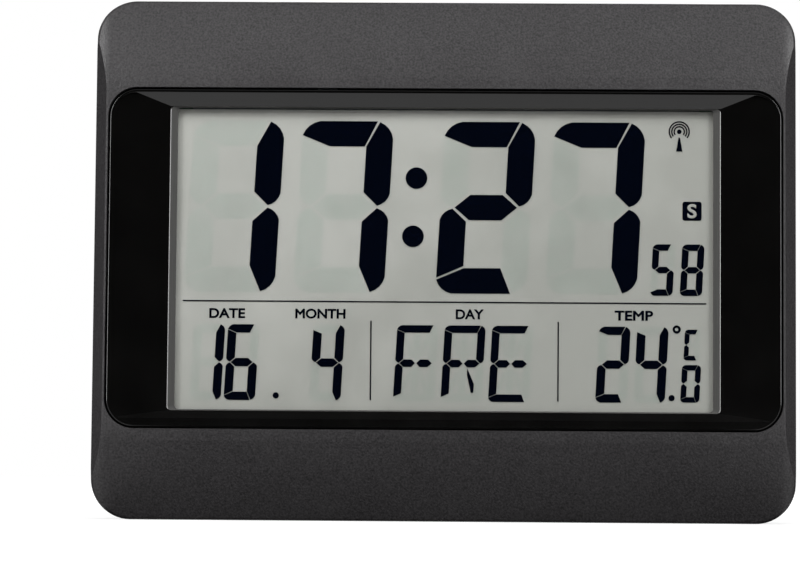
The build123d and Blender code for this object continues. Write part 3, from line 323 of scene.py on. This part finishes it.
def metal(
    name, colour, roughness, stretch=NO_STRETCH, brush_size=0.5 * MM, brush_height=0.004 * MM,
    darkest=0.85, gloss_spread=0.25,
):
    """Plated or rolled metal, brushed along the axes that stretch draws out."""
    material, tree, shader, place = new_finish(name)
    shader.inputs["Metallic"].default_value = 1
    brush = noise(tree, place, brush_size, detail=3.0, stretch=stretch)
    blend_colours(tree, brush, shaded(colour, darkest), colour, shader.inputs["Base Color"])
    vary_about(tree, brush, roughness, gloss_spread, shader.inputs["Roughness"])
    relief(tree, brush, brush_height, shader)
    return material


def display_back_finish(
    name, light, shade, cloud_size=26 * MM, painted_light_lean=(-2.6, 0, 4.5), dimming=0.44, shine=0.1,
    sparkle_size=0.5 * MM, sparkle_height=0.006 * MM, sparkle_roughness=(0.62, 0.78),
):
    """Rear reflector of the display: broad clouds over a fine sparkle, with painted light that makes it paler
    up and to the left and painted shade that darkens it down and to the right.
    """
    material, tree, shader, place = new_finish(name)
    shader.inputs["Specular IOR Level"].default_value = shine
    # Painted light and shade: the tone is slanted paler up and to the left and darker down and to the right.
    slope = tree.nodes.new("ShaderNodeVectorMath")
    slope.operation = "DOT_PRODUCT"
    slope.inputs[1].default_value = painted_light_lean
    tree.links.new(place, slope.inputs[0])
    clouds = noise(tree, place, cloud_size, detail=3.0)
    clouds_and_painted_light = calculate(tree, "ADD", clouds, slope.outputs["Value"])
    clouds_and_painted_light = calculate(tree, "SUBTRACT", clouds_and_painted_light, dimming)
    blend_colours(tree, clouds_and_painted_light, shade, light, shader.inputs["Base Color"])
    sparkle = noise(tree, place, sparkle_size, detail=3.0)
    vary(tree, sparkle, *sparkle_roughness, shader.inputs["Roughness"])
    relief(tree, sparkle, sparkle_height, shader)
    return material


def clear_finish(name, least_mirror=0.035, steepness=5, haze_size=20 * MM, haze_roughness=(0.02, 0.05)):
    """Clear pane that lets the lamps through and mirrors at its surface, most where it is seen edge-on."""
    material, tree, shader, place = new_finish(name)
    tree.nodes.remove(shader)
    clear = tree.nodes.new("ShaderNodeBsdfTransparent")
    mirror = tree.nodes.new("ShaderNodeBsdfGlossy")
    mix = tree.nodes.new("ShaderNodeMixShader")
    facing = tree.nodes.new("ShaderNodeLayerWeight").outputs["Facing"]
    edge_on = calculate(tree, "POWER", facing, steepness)
    vary(tree, noise(tree, place, haze_size), *haze_roughness, mirror.inputs["Roughness"])
    tree.links.new(map_range(tree, edge_on, 0, 1, least_mirror, 1), mix.inputs["Fac"])
    tree.links.new(clear.outputs["BSDF"], mix.inputs[1])
    tree.links.new(mirror.outputs["BSDF"], mix.inputs[2])
    tree.links.new(mix.outputs["Shader"], tree.nodes["Material Output"].inputs["Surface"])
    return material


def tint_finish(name, weak, strong, patch_size=4 * MM):
    """Clear film that only tints what lies behind it, a little unevenly."""
    material, tree, shader, place = new_finish(name)
    tree.nodes.remove(shader)
    film = tree.nodes.new("ShaderNodeBsdfTransparent")
    blend_colours(tree, noise(tree, place, patch_size, detail=3.0), strong, weak, film.inputs["Color"])
    tree.links.new(film.outputs["BSDF"], tree.nodes["Material Output"].inputs["Surface"])
    return material


def dress(piece, material):
    """Gives a piece one finish all over."""
    piece.data.materials.clear()
    piece.data.materials.append(material)


# ---------------------------------------------------------------- modelling by hand


def deselect():
    """Starts from nothing selected, in object mode."""
    if bpy.context.object and bpy.context.object.mode != "OBJECT":
        bpy.ops.object.mode_set(mode="OBJECT")
    bpy.ops.object.select_all(action="DESELECT")


def take(piece):
    """Makes one piece the selected and active one."""
    deselect()
    piece.select_set(True)
    bpy.context.view_layer.objects.active = piece


def settle(piece):
    """Puts the piece's place into its mesh."""
    take(piece)
    bpy.ops.object.transform_apply(location=True, rotation=True, scale=True)


def round_edges(piece, width, segments=2, sharp=math.radians(40), smooth=math.radians(32)):
    """Rounds the sharp edges, smooths the roundings and keeps the flat faces flat to the eye."""
    take(piece)
    rounding = piece.modifiers.new("Rounding", "BEVEL")
    rounding.width = width
    rounding.segments = segments
    rounding.limit_method = "ANGLE"
    rounding.angle_limit = sharp
    bpy.ops.object.modifier_apply(modifier=rounding.name)
    bpy.ops.object.shade_smooth_by_angle(angle=smooth)
    flat = piece.modifiers.new("Flat faces", "WEIGHTED_NORMAL")
    flat.keep_sharp = True
    bpy.ops.object.modifier_apply(modifier=flat.name)


def slab(name, low, high, edge):
    """Flat block between two corners with its edges rounded."""
    deselect()
    bpy.ops.mesh.primitive_cube_add(size=1, location=(Vector(low) + Vector(high)) / 2)
    piece = bpy.context.object
    piece.name = name
    piece.scale = Vector(high) - Vector(low)
    settle(piece)
    round_edges(piece, edge)
    return piece


def thicken(piece, thickness):
    """Gives a flat outline on the XY plane its depth, with its front face up."""
    take(piece)
    bpy.ops.object.mode_set(mode="EDIT")
    bpy.ops.mesh.select_all(action="SELECT")
    bpy.ops.mesh.normals_make_consistent(inside=False)
    bpy.ops.mesh.extrude_region_move(TRANSFORM_OT_translate={"value": (0, 0, -thickness)})
    bpy.ops.mesh.select_all(action="SELECT")
    bpy.ops.mesh.normals_make_consistent(inside=False)
    bpy.ops.object.mode_set(mode="OBJECT")


def stand_up(piece, x, y, z, facing_back=False):
    """Turns a piece that was drawn on the XY plane to face the front, or the back, and puts it in place."""
    turn = Matrix.Rotation(math.pi / 2, 4, "X")
    if facing_back:
        turn = Matrix.Rotation(math.pi, 4, "Z") @ turn
    piece.matrix_world = Matrix.Translation((x, y, z)) @ turn
    settle(piece)


def join(pieces, name):
    """Joins pieces into the first one."""
    deselect()
    for piece in pieces:
        piece.select_set(True)
    bpy.context.view_layer.objects.active = pieces[0]
    if len(pieces) > 1:
        bpy.ops.object.join()
    joined = bpy.context.object
    joined.name = name
    return joined


def lettering(words, height, width, weight, thickness, size_per_height=1.4, curve_steps=6):
    """Capitals of that height and width, drawn on the XY plane about their middle."""
    deselect()
    bpy.ops.object.text_add()
    text = bpy.context.object
    text.data.body = words
    text.data.size = height * size_per_height
    text.data.bevel_depth = weight
    text.data.bevel_resolution = 0
    text.data.extrude = thickness
    text.data.resolution_u = curve_steps
    bpy.ops.object.convert(target="MESH")
    piece = bpy.context.object
    corners = [vertex.co for vertex in piece.data.vertices]
    low = Vector([min(corner[axis] for corner in corners) for axis in range(3)])
    high = Vector([max(corner[axis] for corner in corners) for axis in range(3)])
    middle = (low + high) / 2
    size = high - low
    share = Vector((width / size.x, height / size.y, thickness / size.z))
    piece.scale = share
    piece.location = (-middle.x * share.x, -middle.y * share.y, -high.z * share.z)
    settle(piece)
    return piece


def arc_band(radius, stroke, start, end, thickness, steps=28, merge_gap=0.001 * MM):
    """Band along an arc on the XY plane, from one angle to the other."""
    deselect()
    bpy.ops.mesh.primitive_plane_add(size=stroke, location=(radius, -stroke / 2, 0))
    piece = bpy.context.object
    settle(piece)
    bpy.ops.object.mode_set(mode="EDIT")
    bpy.ops.mesh.select_all(action="DESELECT")
    bpy.ops.object.mode_set(mode="OBJECT")
    for vertex in piece.data.vertices:
        vertex.select = vertex.co.y < -stroke / 2
    bpy.ops.object.mode_set(mode="EDIT")
    bpy.ops.mesh.delete(type="VERT")
    bpy.ops.mesh.select_all(action="SELECT")
    bpy.ops.mesh.spin(steps=steps, angle=start - end, center=(0, 0, 0), axis=(0, 0, 1))
    bpy.ops.mesh.select_all(action="SELECT")
    bpy.ops.mesh.remove_doubles(threshold=merge_gap)
    bpy.ops.object.mode_set(mode="OBJECT")
    piece.rotation_euler.z = start
    settle(piece)
    thicken(piece, thickness)
    return piece


def polygon(points, thickness):
    """Flat plate on the XY plane with those corners, given in millimetres."""
    deselect()
    bpy.ops.mesh.primitive_circle_add(vertices=len(points), radius=1, fill_type="NGON")
    piece = bpy.context.object
    for vertex, (x, y) in zip(piece.data.vertices, points):
        vertex.co = (x * MM, y * MM, 0)
    thicken(piece, thickness)
    return piece


def disc(radius, thickness, vertices=32):
    """Flat round plate on the XY plane."""
    deselect()
    bpy.ops.mesh.primitive_circle_add(vertices=vertices, radius=radius, fill_type="NGON")
    piece = bpy.context.object
    thicken(piece, thickness)
    return piece


def rounded_square(size, radius, thickness, segments=5):
    """Flat square plate with rounded corners on the XY plane."""
    deselect()
    bpy.ops.mesh.primitive_plane_add(size=size)
    piece = bpy.context.object
    bpy.ops.object.mode_set(mode="EDIT")
    bpy.ops.mesh.select_all(action="SELECT")
    bpy.ops.mesh.bevel(affect="VERTICES", offset=radius, segments=segments)
    bpy.ops.object.mode_set(mode="OBJECT")
    thicken(piece, thickness)
    return piece


# ---------------------------------------------------------------- pieces


class CLOCK_OT_case(bpy.types.Operator):
    """Grained case: front frame, rear cover, battery door and stand"""

    bl_idname = "clock.case"
    bl_label = "Case"

    def execute(self, context):
        finishes = context.scene.clock_finishes
        plastic = moulded(
            "case_plastic", finishes.case_colour, finishes.case_roughness, finishes.case_grain,
            finishes.case_relief, spread=finishes.case_speckle, shine=finishes.case_shine,
        )
        for node in ("front_frame", "rear_cover", "battery_door", "stand"):
            dress(NODES[node], plastic)
        return {"FINISHED"}


class CLOCK_OT_bezel(bpy.types.Operator):
    """Gloss black surround of the window"""

    bl_idname = "clock.bezel"
    bl_label = "Bezel"

    def execute(self, context):
        finishes = context.scene.clock_finishes
        wall_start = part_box("display_lens")[0].y - finishes.wall_depth
        dress(NODES["display_bezel"], surround("bezel_plastic", finishes, wall_start))
        return {"FINISHED"}


class CLOCK_OT_display(bpy.types.Operator):
    """Clear pane, display back, and the dark and idle segments"""

    bl_idname = "clock.display"
    bl_label = "Display"

    pane_gap = 0.02 * MM
    pane_edge = 0.2 * MM
    back_edge = 0.1 * MM
    segment_roughness = 0.8
    segment_grain = 0.4 * MM
    segment_relief = 0.002 * MM

    def execute(self, context):
        finishes = context.scene.clock_finishes
        low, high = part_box("display_lens")
        pane_front = low.y + self.pane_gap
        glass_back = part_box("lcd_front_glass")[1].y
        pane = slab(
            "display_pane", (low.x, pane_front, low.z), (high.x, glass_back, high.z), self.pane_edge
        )
        dress(pane, clear_finish("clear_lens"))
        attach(pane, "case")
        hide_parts("display_lens", "lcd_front_polariser", "lcd_front_glass")

        low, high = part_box("lcd_rear_glass")
        reflector_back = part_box("lcd_reflector")[1].y
        back = slab("display_back", low, (high.x, reflector_back, high.z), self.back_edge)
        dress(back, display_back_finish("display_back", finishes.display_pale_clouds_and_lit, finishes.display_dark_clouds_and_shaded))
        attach(back, "case")
        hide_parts("lcd_rear_glass", "lcd_reflector")

        dark = moulded(
            "segment_dark", finishes.segment_colour, self.segment_roughness, self.segment_grain,
            self.segment_relief, spread=0.2, shine=0.0,
        )
        dress(NODES["lcd_segments_on"], dark)
        idle = tint_finish("segment_idle", finishes.idle_weak, finishes.idle_strong)
        dress(NODES["lcd_segments_off"], idle)
        return {"FINISHED"}


class CLOCK_OT_signs(bpy.types.Operator):
    """Small printed signs of the display: labels, signal mast and summer time badge"""

    bl_idname = "clock.signs"
    bl_label = "Display signs"

    # Piece, words, place across and up from the middle of the window, and width, in millimetres.
    labels = (
        ("label_date", "DATE", (-66.5, -16.8), 11.0),
        ("label_month", "MONTH", (-37.9, -16.8), 15.4),
        ("label_day", "DAY", (7.9, -16.7), 8.6),
        ("label_temperature", "TEMP", (58.1, -16.8), 11.8),
    )

    # The mast's place, from the middle of the window, and its foot's corners are in millimetres.
    mast_place = (71.9, 39.9)
    mast_foot = ((-0.95, -6.1), (0.95, -6.1), (0.2, -1.8), (-0.2, -1.8))
    mast_radii = (3.05 * MM, 2.3 * MM, 1.55 * MM)
    mast_stroke = 0.42 * MM
    mast_start, mast_end = math.radians(-38), math.radians(218)
    mast_head = 0.72 * MM

    # The badge lies behind its letter. Thicknesses and depth are shares of a segment's thickness.
    badge_place = (75.85, 15.4)
    badge_corner = 0.7 * MM
    badge_thickness, badge_depth = 0.5, 0.4
    letter_height, letter_width = 4.4 * MM, 2.85 * MM
    letter_thickness = 0.35
    letter_boldness = 1.3

    def execute(self, context):
        signs = context.scene.clock_signs
        dark = NODES["lcd_segments_on"].data.materials[0]
        pale = bpy.data.objects["display_back"].data.materials[0]
        low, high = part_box("lcd_segments_on")
        lens_low, lens_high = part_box("display_lens")
        window_middle = (lens_low.z + lens_high.z) / 2
        thickness = high.y - low.y

        def put(piece, name, place, material):
            across, up = place
            stand_up(piece, across * MM, low.y, window_middle + up * MM)
            piece.name = name
            dress(piece, material)
            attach(piece, "case")

        for name, words, place, width in self.labels:
            label = lettering(words, signs.label_height, width * MM, signs.label_weight, thickness)
            put(label, name, place, dark)

        strokes = [
            arc_band(radius, self.mast_stroke, self.mast_start, self.mast_end, thickness)
            for radius in self.mast_radii
        ]
        strokes.append(disc(self.mast_head, thickness))
        strokes.append(polygon(self.mast_foot, thickness))
        put(join(strokes, "signal_mast"), "signal_mast", self.mast_place, dark)

        badge = rounded_square(signs.badge_size, self.badge_corner, thickness * self.badge_thickness)
        badge.location.z = -thickness * self.badge_depth
        settle(badge)
        put(badge, "summer_badge", self.badge_place, dark)
        letter = lettering(
            "S", self.letter_height, self.letter_width, signs.label_weight * self.letter_boldness,
            thickness * self.letter_thickness,
        )
        put(letter, "summer_letter", self.badge_place, pale)
        return {"FINISHED"}


class CLOCK_OT_works(bpy.types.Operator):
    """Finishes of the pieces inside the case and of the screws"""

    bl_idname = "clock.works"
    bl_label = "Works"

    lead_colours = {
        "red_lead": (0.32, 0.012, 0.01),
        "black_lead": (0.01, 0.01, 0.01),
        "white_lead": (0.62, 0.61, 0.58),
        "flat_cable": (0.5, 0.5, 0.5),
    }
    fine_grain = {"grain": 0.5 * MM, "height": 0.02 * MM}
    lead_grain = {"grain": 0.8 * MM, "height": 0.01 * MM, "spread": 0.06}
    tray_grain = {"grain": 0.6 * MM, "height": 0.02 * MM, "spread": 0.04}
    ferrite_grain = {"grain": 0.7 * MM, "height": 0.05 * MM}

    def execute(self, context):
        finishes = context.scene.clock_finishes
        board = gloss("board", finishes.board_colour, roughness=0.35)
        plated = metal("plated_metal", (0.72, 0.7, 0.66), roughness=0.28)
        steel = metal("steel", (0.5, 0.5, 0.51), roughness=0.34)
        lead = {
            name: moulded(name, colour, roughness=0.45, **self.lead_grain)
            for name, colour in self.lead_colours.items()
        }
        tray = moulded("tray_plastic", (0.55, 0.55, 0.53), roughness=0.5, **self.tray_grain)
        rubber = moulded("contact_rubber", (0.2, 0.2, 0.21), roughness=0.7, **self.fine_grain)
        resin = moulded("chip_resin", (0.012, 0.012, 0.012), roughness=0.45, **self.fine_grain)
        switch = moulded("switch_plastic", (0.02, 0.02, 0.02), roughness=0.5, **self.fine_grain)
        ferrite = moulded("ferrite", (0.03, 0.029, 0.028), roughness=0.6, **self.ferrite_grain)
        copper = metal("copper_wire", (0.62, 0.25, 0.11), roughness=0.32, stretch=(0.3, 8.0, 8.0))
        jacket = gloss("cell_jacket", finishes.cell_colour, roughness=0.3)
        button = moulded("button_plastic", finishes.button_colour, roughness=0.5, **self.fine_grain)
        for material, nodes in (
            (tray, ("lcd_holder",)),
            (rubber, ("zebra_strip",)),
            (board, ("main_pcb", "key_pcb", "receiver_pcb")),
            (resin, ("controller_chip", "thermistor")),
            (plated, ("quartz_crystal", "battery_bridge")),
            (plated, ("battery_terminal_positive", "battery_terminal_negative")),
            (switch, ("tact_switches",)),
            (ferrite, ("ferrite_rod",)),
            (copper, ("antenna_coil",)),
            (lead["white_lead"], ("antenna_lead",)),
            (lead["flat_cable"], ("key_cable", "receiver_cable")),
            (jacket, ("aa_cells",)),
            (lead["red_lead"], ("battery_lead_positive",)),
            (lead["black_lead"], ("battery_lead_negative",)),
            (button, ("set_button", "up_button", "down_button", "receive_button")),
            (steel, ("stand_pin", "case_screws", "bezel_screws", "board_screws")),
        ):
            for node in nodes:
                dress(NODES[node], material)
        return {"FINISHED"}


class CLOCK_OT_marks(bpy.types.Operator):
    """Plain pictograms on the four rear buttons"""

    bl_idname = "clock.marks"
    bl_label = "Rear marks"

    stroke = 0.45 * MM
    dot_radius = 0.6 * MM
    ring_radius = 1.6 * MM
    wave_radii = (1.5 * MM, 2.7 * MM)
    wave_start, wave_end = math.radians(40), math.radians(140)
    wave_drop = 1.4 * MM
    # Corners of the triangle that points up, in millimetres.
    triangle_corners = ((0, 1.25), (-1.5, -1.15), (1.5, -1.15))

    def triangle(self, height, turn):
        """Triangle that points up, or down where turn is -1."""
        return [polygon([(x, y * turn) for x, y in self.triangle_corners], height)]

    def ring(self, height):
        """Ring about a dot."""
        return [arc_band(self.ring_radius, self.stroke, 0, math.tau, height), disc(self.dot_radius, height)]

    def waves(self, height):
        """Two arcs over a dot."""
        shapes = [
            arc_band(radius, self.stroke, self.wave_start, self.wave_end, height)
            for radius in self.wave_radii
        ]
        shapes.append(disc(self.dot_radius, height))
        for shape in shapes:
            shape.location.y = -self.wave_drop
            settle(shape)
        return shapes

    def execute(self, context):
        height = context.scene.clock_signs.mark_relief
        print_finish = moulded(
            "mark_print", context.scene.clock_finishes.mark_colour, roughness=0.6, grain=0.3 * MM,
            height=0.004 * MM, spread=0.06,
        )
        for body, shapes in (
            ("set_button", self.ring(height)),
            ("up_button", self.triangle(height, 1)),
            ("down_button", self.triangle(height, -1)),
            ("receive_button", self.waves(height)),
        ):
            low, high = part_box(body)
            mark = join(shapes, f"{body}_mark")
            stand_up(
                mark, (low.x + high.x) / 2, high.y + height / 2, (low.z + high.z) / 2, facing_back=True
            )
            dress(mark, print_finish)
            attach(mark, body)
        return {"FINISHED"}


# ---------------------------------------------------------------- stage


class CLOCK_OT_stage(bpy.types.Operator):
    """Pale floor, white background, soft lamps, cards for the reflections, and the camera"""

    bl_idname = "clock.stage"
    bl_label = "Stage"

    sensor_width = 36
    clip_start = 0.01

    # Lamps: place, and size across and up, in metres. The side lamp stands on both sides.
    side_place, side_size = (0.85, -0.71, 0.78), (0.5, 0.5)
    key_place, key_size = (0, -0.66, 1.2), (1.0, 0.5)
    rear_place, rear_size = (0.2, 1.0, 0.9), (0.8, 0.8)

    # Cards: name, place, point that it faces, size in metres, and glow. Side cards stand on both sides.
    card_colour = (0.004, 0.004, 0.004, 1)
    floor_gap = 0.3 * MM
    side_cards = (
        ("card", (0.9, 0.95, 0.2), MIDDLE, (1.0, 0.9), 0),
        ("card_end", (0.95, 0.2, 0.25), (0, 0.2, 0.25), (1.4, 0.9), 0),
        ("card_floor", (0.3, 0.12, floor_gap), (0.3, 0.12, 1), (0.36, 0.28), 0),
        ("card_bright", (0.75, -0.85, 0.33), MIDDLE, (0.3, 0.75), 22),
    )
    middle_cards = (
        ("card_front", (0, -1.3, 0.22), MIDDLE, (1.3, 0.9), 0),
        ("card_top", (0, 0.08, 0.5), (0, 0.08, 0), (0.9, 0.8), 0),
        ("card_floor", (0, -0.125, floor_gap), (0, -0.125, 1), (0.21, 0.29), 0),
    )

    # The floor's glow rises to white between the two distances from the clock, in metres.
    floor_size = 6
    floor_grain = 1.5 * MM
    floor_spread = 0.015
    floor_roughness = (0.8, 0.95)
    glow_start, glow_end = 0.15, 0.6

    def lamp(self, name, place, size, power):
        """Soft lamp that faces the clock."""
        deselect()
        bpy.ops.object.light_add(type="AREA", location=place)
        lamp = bpy.context.object
        lamp.name = name
        lamp.data.shape = "RECTANGLE"
        lamp.data.size, lamp.data.size_y = size
        lamp.data.energy = power
        lamp.rotation_euler = (MIDDLE - Vector(place)).to_track_quat("-Z", "Y").to_euler()

    def card(self, name, place, target, size, glow):
        """Card that only reflections see, dark or with a glow."""
        deselect()
        bpy.ops.mesh.primitive_plane_add(size=1, location=place)
        card = bpy.context.object
        card.name = name
        card.scale = (*size, 1)
        card.rotation_euler = (Vector(target) - Vector(place)).to_track_quat("Z", "Y").to_euler()
        settle(card)
        material, _, shader, _ = new_finish(name)
        shader.inputs["Base Color"].default_value = self.card_colour
        shader.inputs["Roughness"].default_value = 1
        shader.inputs["Specular IOR Level"].default_value = 0
        shader.inputs["Emission Color"].default_value = WHITE
        shader.inputs["Emission Strength"].default_value = glow
        dress(card, material)
        card.visible_camera = False
        card.visible_diffuse = False
        card.visible_shadow = False
        card.visible_transmission = False

    def seen_share(self, tree):
        """One where the camera, a reflection or a clear piece looks, nought for the light that falls."""
        path = tree.nodes.new("ShaderNodeLightPath")
        seen = path.outputs["Is Camera Ray"]
        for name in ("Is Glossy Ray", "Is Transmission Ray"):
            seen = calculate(tree, "MAXIMUM", seen, path.outputs[name])
        return seen

    def floor(self, colour, near_glow):
        """Pale floor that keeps the shadow near the clock and turns white farther off."""
        deselect()
        bpy.ops.mesh.primitive_plane_add(size=self.floor_size)
        floor = bpy.context.object
        floor.name = "floor"
        material, tree, shader, place = new_finish("floor")
        grain = noise(tree, place, self.floor_grain, detail=3.0)
        speckle_colour(tree, grain, colour, self.floor_spread, shader.inputs["Base Color"])
        vary(tree, grain, *self.floor_roughness, shader.inputs["Roughness"])
        shader.inputs["Specular IOR Level"].default_value = 0
        distance = tree.nodes.new("ShaderNodeVectorMath")
        distance.operation = "LENGTH"
        tree.links.new(place, distance.inputs[0])
        whiteness = map_range(
            tree, distance.outputs["Value"], self.glow_start, self.glow_end, near_glow, 1
        )
        glow = tree.nodes.new("ShaderNodeEmission")
        glow.inputs["Color"].default_value = WHITE
        strength = calculate(tree, "MULTIPLY", self.seen_share(tree), whiteness)
        tree.links.new(strength, glow.inputs["Strength"])
        both = tree.nodes.new("ShaderNodeAddShader")
        tree.links.new(shader.outputs["BSDF"], both.inputs[0])
        tree.links.new(glow.outputs["Emission"], both.inputs[1])
        tree.links.new(both.outputs["Shader"], tree.nodes["Material Output"].inputs["Surface"])
        dress(floor, material)

    def world(self, scene, fill):
        """White background, and an even light from all round."""
        world = bpy.data.worlds.new("studio")
        scene.world = world
        world.use_nodes = True
        tree = world.node_tree
        background = tree.nodes["Background"]
        background.inputs["Color"].default_value = WHITE
        strength = map_range(tree, self.seen_share(tree), 0, 1, fill, 1)
        tree.links.new(strength, background.inputs["Strength"])

    def camera(self, scene, stage):
        """Camera that looks at the middle of the clock."""
        azimuth, elevation, roll = stage.camera_azimuth, stage.camera_elevation, stage.camera_roll
        back = Vector((
            math.sin(azimuth) * math.cos(elevation),
            -math.cos(azimuth) * math.cos(elevation),
            math.sin(elevation),
        ))
        level = Vector((0, 0, 1)).cross(back).normalized()
        rise = back.cross(level)
        right = level * math.cos(roll) + rise * math.sin(roll)
        up = rise * math.cos(roll) - level * math.sin(roll)
        data = bpy.data.cameras.new("camera")
        data.lens = stage.camera_lens
        data.sensor_width = self.sensor_width
        data.shift_x, data.shift_y = stage.shift_x, stage.shift_y
        data.clip_start = self.clip_start
        camera = bpy.data.objects.new("camera", data)
        scene.collection.objects.link(camera)
        turn = Matrix((right, up, back)).transposed().to_4x4()
        camera.matrix_world = Matrix.Translation(MIDDLE + back * stage.camera_distance) @ turn
        scene.camera = camera

    def execute(self, context):
        scene = context.scene
        stage = scene.clock_stage
        self.floor(stage.floor_colour, stage.floor_glow)
        self.world(scene, stage.fill)
        for end, side in (("left", -1), ("right", 1)):
            mirror = Matrix.Diagonal((side, 1, 1))
            self.lamp(f"side_{end}", mirror @ Vector(self.side_place), self.side_size, stage.side_power)
            for name, place, target, size, glow in self.side_cards:
                self.card(f"{name}_{end}", mirror @ Vector(place), mirror @ Vector(target), size, glow)
        self.lamp("key", self.key_place, self.key_size, stage.key_power)
        self.lamp("rear", self.rear_place, self.rear_size, stage.rear_power)
        for card in self.middle_cards:
            self.card(*card)
        self.camera(scene, stage)
        scene.view_settings.view_transform = "Standard"
        return {"FINISHED"}


PIECE_OPERATORS = (
    CLOCK_OT_case,
    CLOCK_OT_bezel,
    CLOCK_OT_display,
    CLOCK_OT_signs,
    CLOCK_OT_works,
    CLOCK_OT_marks,
    CLOCK_OT_stage,
)


class CLOCK_PT_panel(bpy.types.Panel):
    """Lists the clock's makers and its values"""

    bl_idname = "CLOCK_PT_panel"
    bl_label = "Digital wall clock"
    bl_space_type = "VIEW_3D"
    bl_region_type = "UI"
    bl_category = "Clock"

    def draw(self, context):
        for maker in PIECE_OPERATORS:
            self.layout.operator(maker.bl_idname)
        for group in (context.scene.clock_finishes, context.scene.clock_signs, context.scene.clock_stage):
            box = self.layout.box()
            for name in group.__annotations__:
                box.prop(group, name)


CLASSES = (ClockFinishes, ClockSigns, ClockStage, *PIECE_OPERATORS, CLOCK_PT_panel)


def register():
    """Makes the operators, the panel and the values known to Blender."""
    for entry in CLASSES:
        bpy.utils.register_class(entry)
    bpy.types.Scene.clock_finishes = PointerProperty(type=ClockFinishes)
    bpy.types.Scene.clock_signs = PointerProperty(type=ClockSigns)
    bpy.types.Scene.clock_stage = PointerProperty(type=ClockStage)


def unregister():
    """Takes them away again."""
    del bpy.types.Scene.clock_stage
    del bpy.types.Scene.clock_signs
    del bpy.types.Scene.clock_finishes
    for entry in reversed(CLASSES):
        bpy.utils.unregister_class(entry)


def main():
    """Makes every piece and the stage."""
    register()
    bpy.ops.clock.stage()
    bpy.ops.clock.case()
    bpy.ops.clock.bezel()
    bpy.ops.clock.display()
    bpy.ops.clock.signs()
    bpy.ops.clock.works()
    bpy.ops.clock.marks()


if __name__ == "__main__":
    main()
